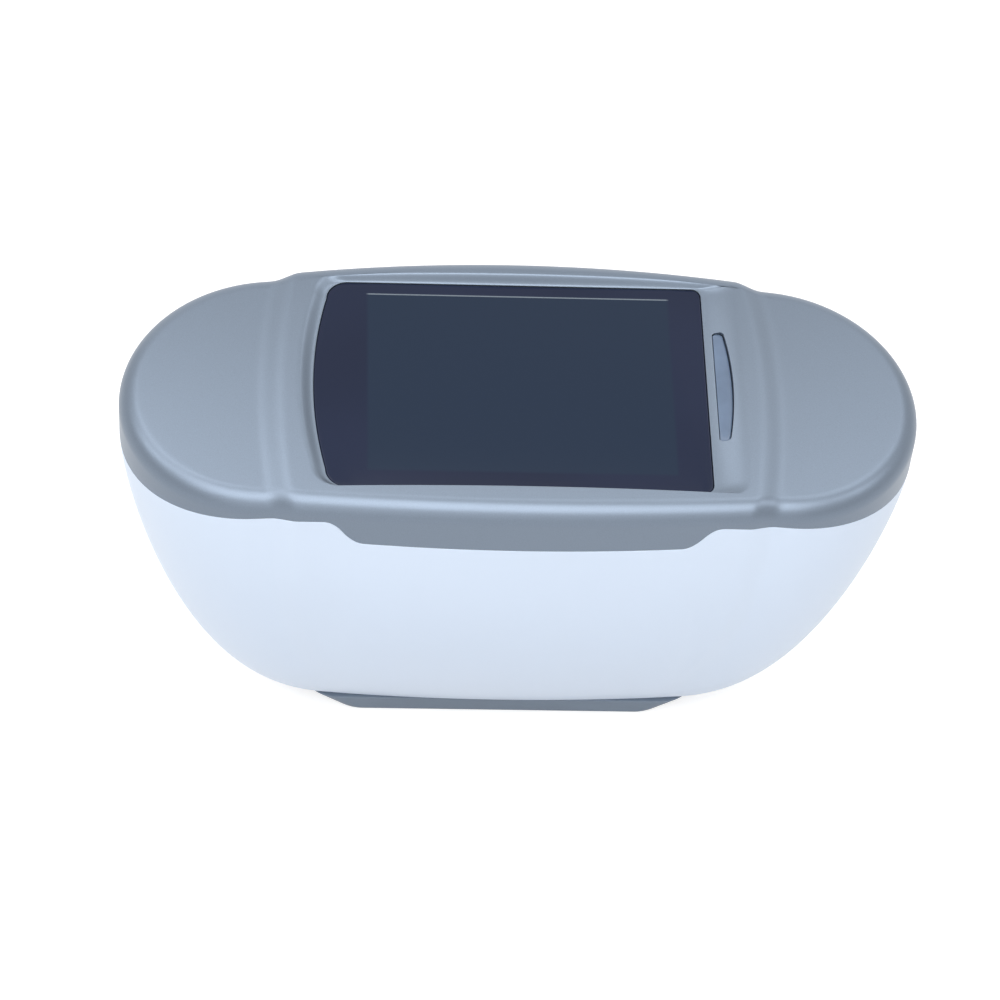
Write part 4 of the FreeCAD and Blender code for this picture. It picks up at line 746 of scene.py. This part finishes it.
class SPECTRO_OT_cover(bpy.types.Operator):
    """Silver cover: skirt with its tongue, rounded edge, platform, dished display border and inside"""
    bl_idname = "spectro.cover"
    bl_label = "Top cover"

    def execute(self, context):
        b, d, f = sizes(), display(), fittings()
        lip, radius = b.seam_rounding, b.edge_radius
        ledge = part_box("screen_tape")[0].z
        glass_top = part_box("screen_glass")[1].z
        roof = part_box("display_panel")[1].z
        outer = cover_outline(0.0)
        seam = seam_level(outer[:, 0])
        edge_start = top_level(*outer.T) - radius
        rings = [lift(cover_outline(lip), seam), lift(outer, seam + lip)]
        rings += list(between(lift(outer, seam + lip), lift(outer, edge_start), 9))
        for inset, drop in quarter_round(radius, 15):
            ring = cover_outline(inset)
            rings.append(lift(ring, top_level(*ring.T) - drop))
        start, mouth = cover_outline(radius), mouth_loop()
        for share in np.linspace(0.0, 1.0, 41)[1:]:
            ring = start + (mouth - start) * share
            rings.append(lift(ring, top_level(*ring.T)))
        rim, high = glass_loop(d.clearance), top_level(*mouth.T)
        for share in np.linspace(1.0, 0.0, 15)[1:]:
            ring = rim + (mouth - rim) * share
            rings.append(lift(ring, glass_top + (high - glass_top) * smooth_step(share)))
        rings.append(lift(rim, ledge))
        corner = 4.0 * lip
        window = rounded_loop(-f.window[0], f.window[0], f.window[1], corner, corner)
        rings += [lift(window, ledge), lift(window, roof)]
        inner_radius, roof_wall = radius / 2.0, b.wall * 1.2
        room = cover_outline(b.wall + inner_radius)
        for share in np.linspace(0.0, 1.0, 19)[1:]:
            ring = window + (room - window) * share
            rings.append(lift(ring, np.minimum(roof, top_level(*ring.T) - roof_wall)))
        level = np.minimum(roof, top_level(*room.T) - roof_wall)
        for drop, inset in quarter_round(inner_radius, 6):
            rings.append(lift(cover_outline(b.wall + inset), level - drop))
        inner = cover_outline(b.wall)
        rings += list(between(rings[-1], lift(inner, seam_level(inner[:, 0])), 5))
        cover = ring_piece("cover_skin", np.stack(rings))
        cover_radius, frame_radius, frame_low = 3.0 * MM, 2.4 * MM, 96.6 * MM
        bosses = [rods("cover_bosses", f.cover_posts, cover_radius, f.post_meeting, roof + MM),
                  rods("frame_bosses", f.frame_posts, frame_radius, frame_low, roof + MM)]
        with_boolean(cover, joined("bosses", bosses), "UNION")
        slot = light_bar_solid("slot_cutter", d.clearance, roof - 2.0 * b.wall, CAD_HIGH.z + b.wall, 0.0)
        with_boolean(cover, slot, "DIFFERENCE")
        add_piece(cover, "root", "top_cover", silver_paint())
        return {"FINISHED"}


def light_bar_loop(outset):
    """Plan of the light bar: a straight edge beside the glass and a bowed one away from it."""
    d = display()
    y = np.linspace(-1.0, 1.0, 49) * (d.bar_half_length + outset)
    width = d.bar_end_width + d.bar_bulge * (1.0 - (y / (d.bar_half_length + outset)) ** 2) + outset
    bowed = np.stack([d.bar_left + width, d.bar_centre + y], -1)
    straight = np.stack([np.full_like(y, d.bar_left - outset), d.bar_centre - y], -1)
    loop = np.vstack([bowed, straight])
    return np.roll(loop, 1, 0) * 0.25 + loop * 0.5 + np.roll(loop, -1, 0) * 0.25


def light_bar_solid(name, outset, low, high, rounding):
    """Upright solid on the light bar's plan, with a rounded upper edge if it has a rounding."""
    loop = light_bar_loop(outset)
    centre = loop.mean(0)
    rings = [lift(loop, low), lift(loop, high - rounding)]
    for inset, drop in quarter_round(rounding, 5) if rounding else ():
        share = 1.0 - inset / display().bar_end_width
        rings.append(lift(centre + (loop - centre) * share, high - drop))
    return ring_piece(name, np.stack(rings), closed=False)


class SPECTRO_OT_housing(bpy.types.Operator):
    """White hull: floor with its openings, wall, posts, seam rim with the gasket groove and key holes"""
    bl_idname = "spectro.housing"
    bl_label = "Lower housing"

    def execute(self, context):
        b, f = sizes(), fittings()
        lip, wall, foot = b.seam_rounding, b.wall, b.foot_height
        window = round_loop(f.hull_opening)
        shares = np.linspace(0.0, 1.0, 58) ** 2
        outside = hull_ring(shares, 0.0, foot)
        outside[-1, :, 2] -= lip
        floor_low = between(lift(window, foot), outside[0], 5)[:-1]
        rings = [lift(window, foot), *floor_low, *outside]
        groove = ((f.gasket_outer, 0.0), (f.gasket_outer, f.gasket_depth),
                  (f.gasket_inner, f.gasket_depth), (f.gasket_inner, 0.0))
        rings += self.rim_rings(((lip, 0.0), *groove, (wall, 0.0)))
        inside = hull_ring(np.linspace(1.0, 0.0, 26)[1:] ** 1.6, wall, foot + wall)
        rings += list(inside)
        rings += list(between(inside[-1], lift(window, foot + wall), 5))
        hull = ring_piece("housing_skin", np.stack(rings))
        with_boolean(hull, self.posts(f, foot + wall / 2.0), "UNION")
        with_boolean(hull, self.holes(f), "DIFFERENCE")
        add_piece(hull, "root", "lower_housing", plain_finish("white_plastic"))
        play = 0.05 * MM
        outer, inner, depth = f.gasket_outer + play, f.gasket_inner - play, f.gasket_depth - play
        seal = self.rim_rings(((outer, play), (outer, depth), (inner, depth), (inner, play)))
        add_piece(ring_piece("seal_ring", np.stack(seal)), "root", "cover_gasket",
                  plain_finish("seal_rubber"))
        return {"FINISHED"}

    def rim_rings(self, profile):
        """Rings along the seam from pairs of inset and depth under the seam."""
        rim = [hull_ring(np.ones(1), inset, sizes().foot_height)[0] for inset, _ in profile]
        return [ring - [0.0, 0.0, depth] for ring, (_, depth) in zip(rim, profile)]

    def posts(self, f, floor):
        cover_radius, carrier_radius, cup_radius = 3.1 * MM, 2.6 * MM, 3.4 * MM
        carrier_low, carrier_top, cup_top = 11.0 * MM, 46.0 * MM, 12.0 * MM
        return joined("posts", [
            rods("cover_posts", f.cover_posts, cover_radius, floor, f.post_meeting),
            rods("carrier_posts", f.carrier_posts, carrier_radius, carrier_low, carrier_top),
            rods("pin_cups", f.pins, cup_radius, floor, cup_top)])

    def holes(self, f):
        recess_radius, bore_radius, well_radius, key_gap = 2.5 * MM, 1.4 * MM, 2.5 * MM, 0.3 * MM
        recess_top, bore_top, well_top = 78.0 * MM, 8.4 * MM, 10.8 * MM
        keys = [key_solid("key_hole", node, key_gap, 0.0, True)
                for node in ("measure_button", "power_button")]
        return joined("holes", [
            rods("post_recesses", f.cover_posts, recess_radius, 0.0, recess_top),
            rods("foot_bores", f.foot_screws, bore_radius, 0.0, bore_top),
            rods("spring_wells", f.pins, well_radius, 0.0, well_top),
            *keys, socket_cutter()])


def socket_cutter():
    """Solid for the opening of the socket, from the socket's middle out through the hull's end."""
    low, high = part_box("usb_socket")
    gap = 0.3 * MM
    half_height = (high.z - low.z) / 2.0 + gap
    outline = slot_profile((high.y - low.y) / 2.0 + gap, half_height, half_height)
    centre_z = (low.z + high.z) / 2.0
    rings = [np.stack([np.full(len(outline), x), outline[:, 0], outline[:, 1] + centre_z], -1)
             for x in ((low.x + high.x) / 2.0, CAD_HIGH.x + gap)]
    return ring_piece("socket_cutter", np.stack(rings), closed=False)


def key_solid(name, node, outset, rounding, is_cutter=False):
    """Key from its CAD box: a flange, a straight skirt, a rounded edge and a shallow dish in its face."""
    low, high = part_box(node)
    flange, flange_height, dish = 1.0 * MM, 1.2 * MM, 0.25 * MM
    half_length = (high.x - low.x) / 2.0 - flange
    half_width = (high.z - low.z) / 2.0 - flange
    middle = (low + high) / 2.0
    if is_cutter:
        steps = [(outset, low.y + flange_height * 0.9), (outset, high.y + 4.0 * MM)]
    else:
        steps = [(flange, low.y), (flange, low.y + flange_height), (0.0, low.y + flange_height),
                 (0.0, high.y - rounding)]
        steps += [(-inset, high.y - drop) for inset, drop in quarter_round(rounding, 7)]
        for share in np.linspace(0.0, 1.0, 7)[1:]:
            inset = rounding + (half_width - rounding) * 0.8 * share
            steps.append((-inset, high.y - dish * smooth_step(share)))
    rings = []
    for grow, level in steps:
        radius = half_width + grow
        outline = slot_profile(half_length + grow, half_width + grow, radius, 20)
        rings.append(np.stack([outline[:, 0] + middle.x, np.full(len(outline), level),
                               outline[:, 1] + middle.z], -1))
    return ring_piece(name, np.stack(rings), closed=False)


class SPECTRO_OT_foot(bpy.types.Operator):
    """Grey foot plate with sloping ends, rounded edges and its screw and pin holes"""
    bl_idname = "spectro.foot"
    bl_label = "Foot plate"

    def execute(self, context):
        b, f = sizes(), fittings()
        low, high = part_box("base_plate")
        rounding, upper = b.foot_rounding, b.foot_rounding / 3.0
        opening = round_loop(f.foot_opening)

        def outline(level, inset):
            half_length = high.x - f.foot_slope * (1.0 - level / high.z) - inset
            return rounded_loop(-half_length, half_length, b.hull_half_width - inset, f.foot_corner,
                                f.foot_corner)

        rings = [lift(opening, high.z), lift(opening, low.z)]
        rings += list(between(lift(opening, low.z), lift(outline(0.0, rounding), low.z), 5))
        rings += [lift(outline(level, inset), level) for level, inset in quarter_round(rounding, 7)]
        rings += list(between(rings[-1], lift(outline(high.z - upper, 0.0), high.z - upper), 4))
        for inset, drop in quarter_round(upper, 5):
            rings.append(lift(outline(high.z - drop, inset), high.z - drop))
        rings += list(between(rings[-1], lift(opening, high.z), 5))[:-1]
        plate = ring_piece("foot_skin", np.stack(rings))
        through, screw_radius, pin_radius, shoulder_radius = 6.0 * MM, 1.4 * MM, 1.55 * MM, 2.5 * MM
        sunk_head = [(3.2 * MM, -0.6 * MM), (screw_radius, 1.2 * MM), (screw_radius, through)]
        stepped_bore = [(pin_radius, -MM), (pin_radius, 2.5 * MM), (shoulder_radius, 2.5 * MM),
                        (shoulder_radius, through)]
        holes = [turned_piece("sink", sunk_head, x, y) for x, y in corners(*f.foot_screws)]
        holes += [turned_piece("bore", stepped_bore, x, y) for x, y in corners(*f.pins)]
        with_boolean(plate, joined("foot_holes", holes), "DIFFERENCE")
        add_piece(plate, "root", "base_plate", plain_finish("foot_plastic"))
        return {"FINISHED"}


class SPECTRO_OT_display(bpy.types.Operator):
    """Display glass with a softened edge, and the light bar in its slot"""
    bl_idname = "spectro.display"
    bl_label = "Display glass and light bar"

    def execute(self, context):
        d = display()
        low, high = (corner.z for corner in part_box("screen_glass"))
        rings = [lift(glass_loop(0.0), low), lift(glass_loop(0.0), high - d.glass_edge)]
        rings += [lift(glass_loop(-inset), high - drop) for inset, drop in quarter_round(d.glass_edge, 6)]
        glass = ring_piece("glass_plate", np.stack(rings), closed=False)
        add_piece(glass, "root", "screen_glass", display_print())
        bar_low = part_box("light_bar")[0].z
        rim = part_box("screen_glass")[1].z
        guide = light_bar_solid("light_guide", 0.0, bar_low, rim + d.bar_rise, 0.3 * MM)
        add_piece(guide, "root", "light_bar", smoky_guide())
        return {"FINISHED"}


class SPECTRO_OT_keys(bpy.types.Operator):
    """Measuring key and power key with rounded edges and dished faces"""
    bl_idname = "spectro.keys"
    bl_label = "Keys"

    def execute(self, context):
        finish = plain_finish("key_plastic")
        for name, node, body in (("measure_cap", "measure_button", "measure_key"),
                                 ("power_cap", "power_button", "power_key")):
            add_piece(key_solid(name, node, 0.0, 0.6 * MM), body, node, finish)
        return {"FINISHED"}


class SPECTRO_OT_inner_finishes(bpy.types.Operator):
    """Finish of every other sub-part, after its material slot in the record"""
    bl_idname = "spectro.inner_finishes"
    bl_label = "Finishes of the inner pieces"

    def execute(self, context):
        made = {}
        for part in frame["record"]["subparts"]:
            kind = part["material_slot"]
            if kind not in made:
                made[kind] = inner_finish(kind)
            if made[kind]:
                dress(frame["nodes"][part["node"]], made[kind])
        return {"FINISHED"}


def seen_strength(tree, hidden, seen):
    """One strength for camera, glossy and transmission rays, and another for the light on things."""
    path = tree.nodes.new("ShaderNodeLightPath")
    total = path.outputs["Is Camera Ray"]
    for kind in ("Is Glossy Ray", "Is Transmission Ray"):
        total = combined(tree, "MAXIMUM", total, path.outputs[kind])
    strength = tree.nodes.new("ShaderNodeMapRange")
    strength.inputs["To Min"].default_value = hidden
    strength.inputs["To Max"].default_value = seen
    tree.links.new(total, strength.inputs["Value"])
    return strength.outputs["Result"]


class SPECTRO_OT_stage(bpy.types.Operator):
    """Pale floor, white surroundings, soft lights and the camera"""
    bl_idname = "spectro.stage"
    bl_label = "Stage"

    def execute(self, context):
        self.make_world(context)
        self.make_floor(context)
        self.make_lights(context)
        self.make_camera(context)
        context.scene.view_settings.view_transform = "Standard"
        return {"FINISHED"}

    def make_world(self, context):
        world = bpy.data.worlds.new("studio")
        context.scene.world = world
        world.use_nodes = True
        tree = world.node_tree
        background = tree.nodes["Background"]
        background.inputs["Color"].default_value = (1.0, 1.0, 1.0, 1.0)
        tree.links.new(seen_strength(tree, 0.45, 1.0), background.inputs["Strength"])

    def make_floor(self, context):
        half = 4.0
        mesh = bpy.data.meshes.new("floor")
        level = -0.05 * MM
        mesh.from_pydata([(-half, -half, level), (half, -half, level), (half, half, level),
                          (-half, half, level)], [], [(0, 1, 2, 3)])
        floor = bpy.data.objects.new("floor", mesh)
        context.scene.collection.objects.link(floor)
        n = Nodes("floor_white")
        dress(floor, n.finish(Base_Color=(0.5, 0.5, 0.5, 1.0), Roughness=0.9, Specular_IOR_Level=0.0,
                              Emission_Color=(1.0, 1.0, 1.0, 1.0),
                              Emission_Strength=seen_strength(n.tree, 0.0, 0.66)))

    def make_lights(self, context):
        target = Vector((0.0, 0.0, context.scene.spectro_stage.target_height))
        for name, (azimuth, elevation, distance, width, height, power) in LIGHTS.items():
            lamp = bpy.data.lights.new(name, "AREA")
            lamp.shape = "RECTANGLE"
            lamp.size, lamp.size_y = width, height
            lamp.energy = power
            place = bpy.data.objects.new(name, lamp)
            context.scene.collection.objects.link(place)
            away = direction(azimuth, elevation)
            place.location = target + away * distance
            place.rotation_euler = away.to_track_quat("Z", "Y").to_euler()

    def make_camera(self, context):
        s = context.scene.spectro_stage
        data = bpy.data.cameras.new("camera")
        camera = bpy.data.objects.new("camera", data)
        context.scene.collection.objects.link(camera)
        data.sensor_width = 36.0
        data.lens = s.focal_pixels / s.picture * data.sensor_width
        data.shift_x = -s.offset_right / s.picture
        data.shift_y = s.offset_down / s.picture
        data.clip_start, data.clip_end = 0.01, 50.0
        back = direction(s.azimuth, s.elevation)
        camera.location = Vector((0.0, 0.0, s.target_height)) + back * s.distance
        level = back.to_track_quat("Z", "Y").to_matrix().to_4x4()
        turn = level @ Matrix.Rotation(math.radians(s.roll), 4, "Z")
        camera.rotation_euler = turn.to_euler()
        context.scene.camera = camera


def direction(azimuth, elevation):
    """Unit vector from the object towards a viewer; azimuth 0 is in front, at -Y."""
    a, e = math.radians(azimuth), math.radians(elevation)
    return Vector((math.sin(a) * math.cos(e), -math.cos(a) * math.cos(e), math.sin(e)))


OPERATORS = (SPECTRO_OT_cover, SPECTRO_OT_housing, SPECTRO_OT_foot, SPECTRO_OT_display, SPECTRO_OT_keys,
             SPECTRO_OT_inner_finishes, SPECTRO_OT_stage)
GROUPS = {"spectro_body": BodySizes, "spectro_display": DisplaySizes, "spectro_fittings": FittingSizes,
          "spectro_finishes": Finishes, "spectro_stage": StageSettings}


class VIEW3D_PT_spectro(bpy.types.Panel):
    """Sizes, finishes and steps of the instrument."""
    bl_label = "Spectrophotometer"
    bl_space_type = "VIEW_3D"
    bl_region_type = "UI"
    bl_category = "Spectro"

    def draw(self, context):
        for key, group in GROUPS.items():
            box = self.layout.box()
            box.label(text=group.__doc__.strip("."))
            for name in group.__annotations__:
                box.prop(getattr(context.scene, key), name, text=name.replace("_", " ").capitalize())
        for step in OPERATORS:
            self.layout.operator(step.bl_idname)


def register():
    for kind in (*GROUPS.values(), *OPERATORS, VIEW3D_PT_spectro):
        bpy.utils.register_class(kind)
    for key, group in GROUPS.items():
        setattr(bpy.types.Scene, key, bpy.props.PointerProperty(type=group))


def unregister():
    for key in GROUPS:
        delattr(bpy.types.Scene, key)
    for kind in (VIEW3D_PT_spectro, *reversed(OPERATORS), *GROUPS.values()):
        bpy.utils.unregister_class(kind)


def main():
    register()
    for step in OPERATORS:
        group, name = step.bl_idname.split(".")
        getattr(getattr(bpy.ops, group), name)()


if __name__ == "__main__":
    main()
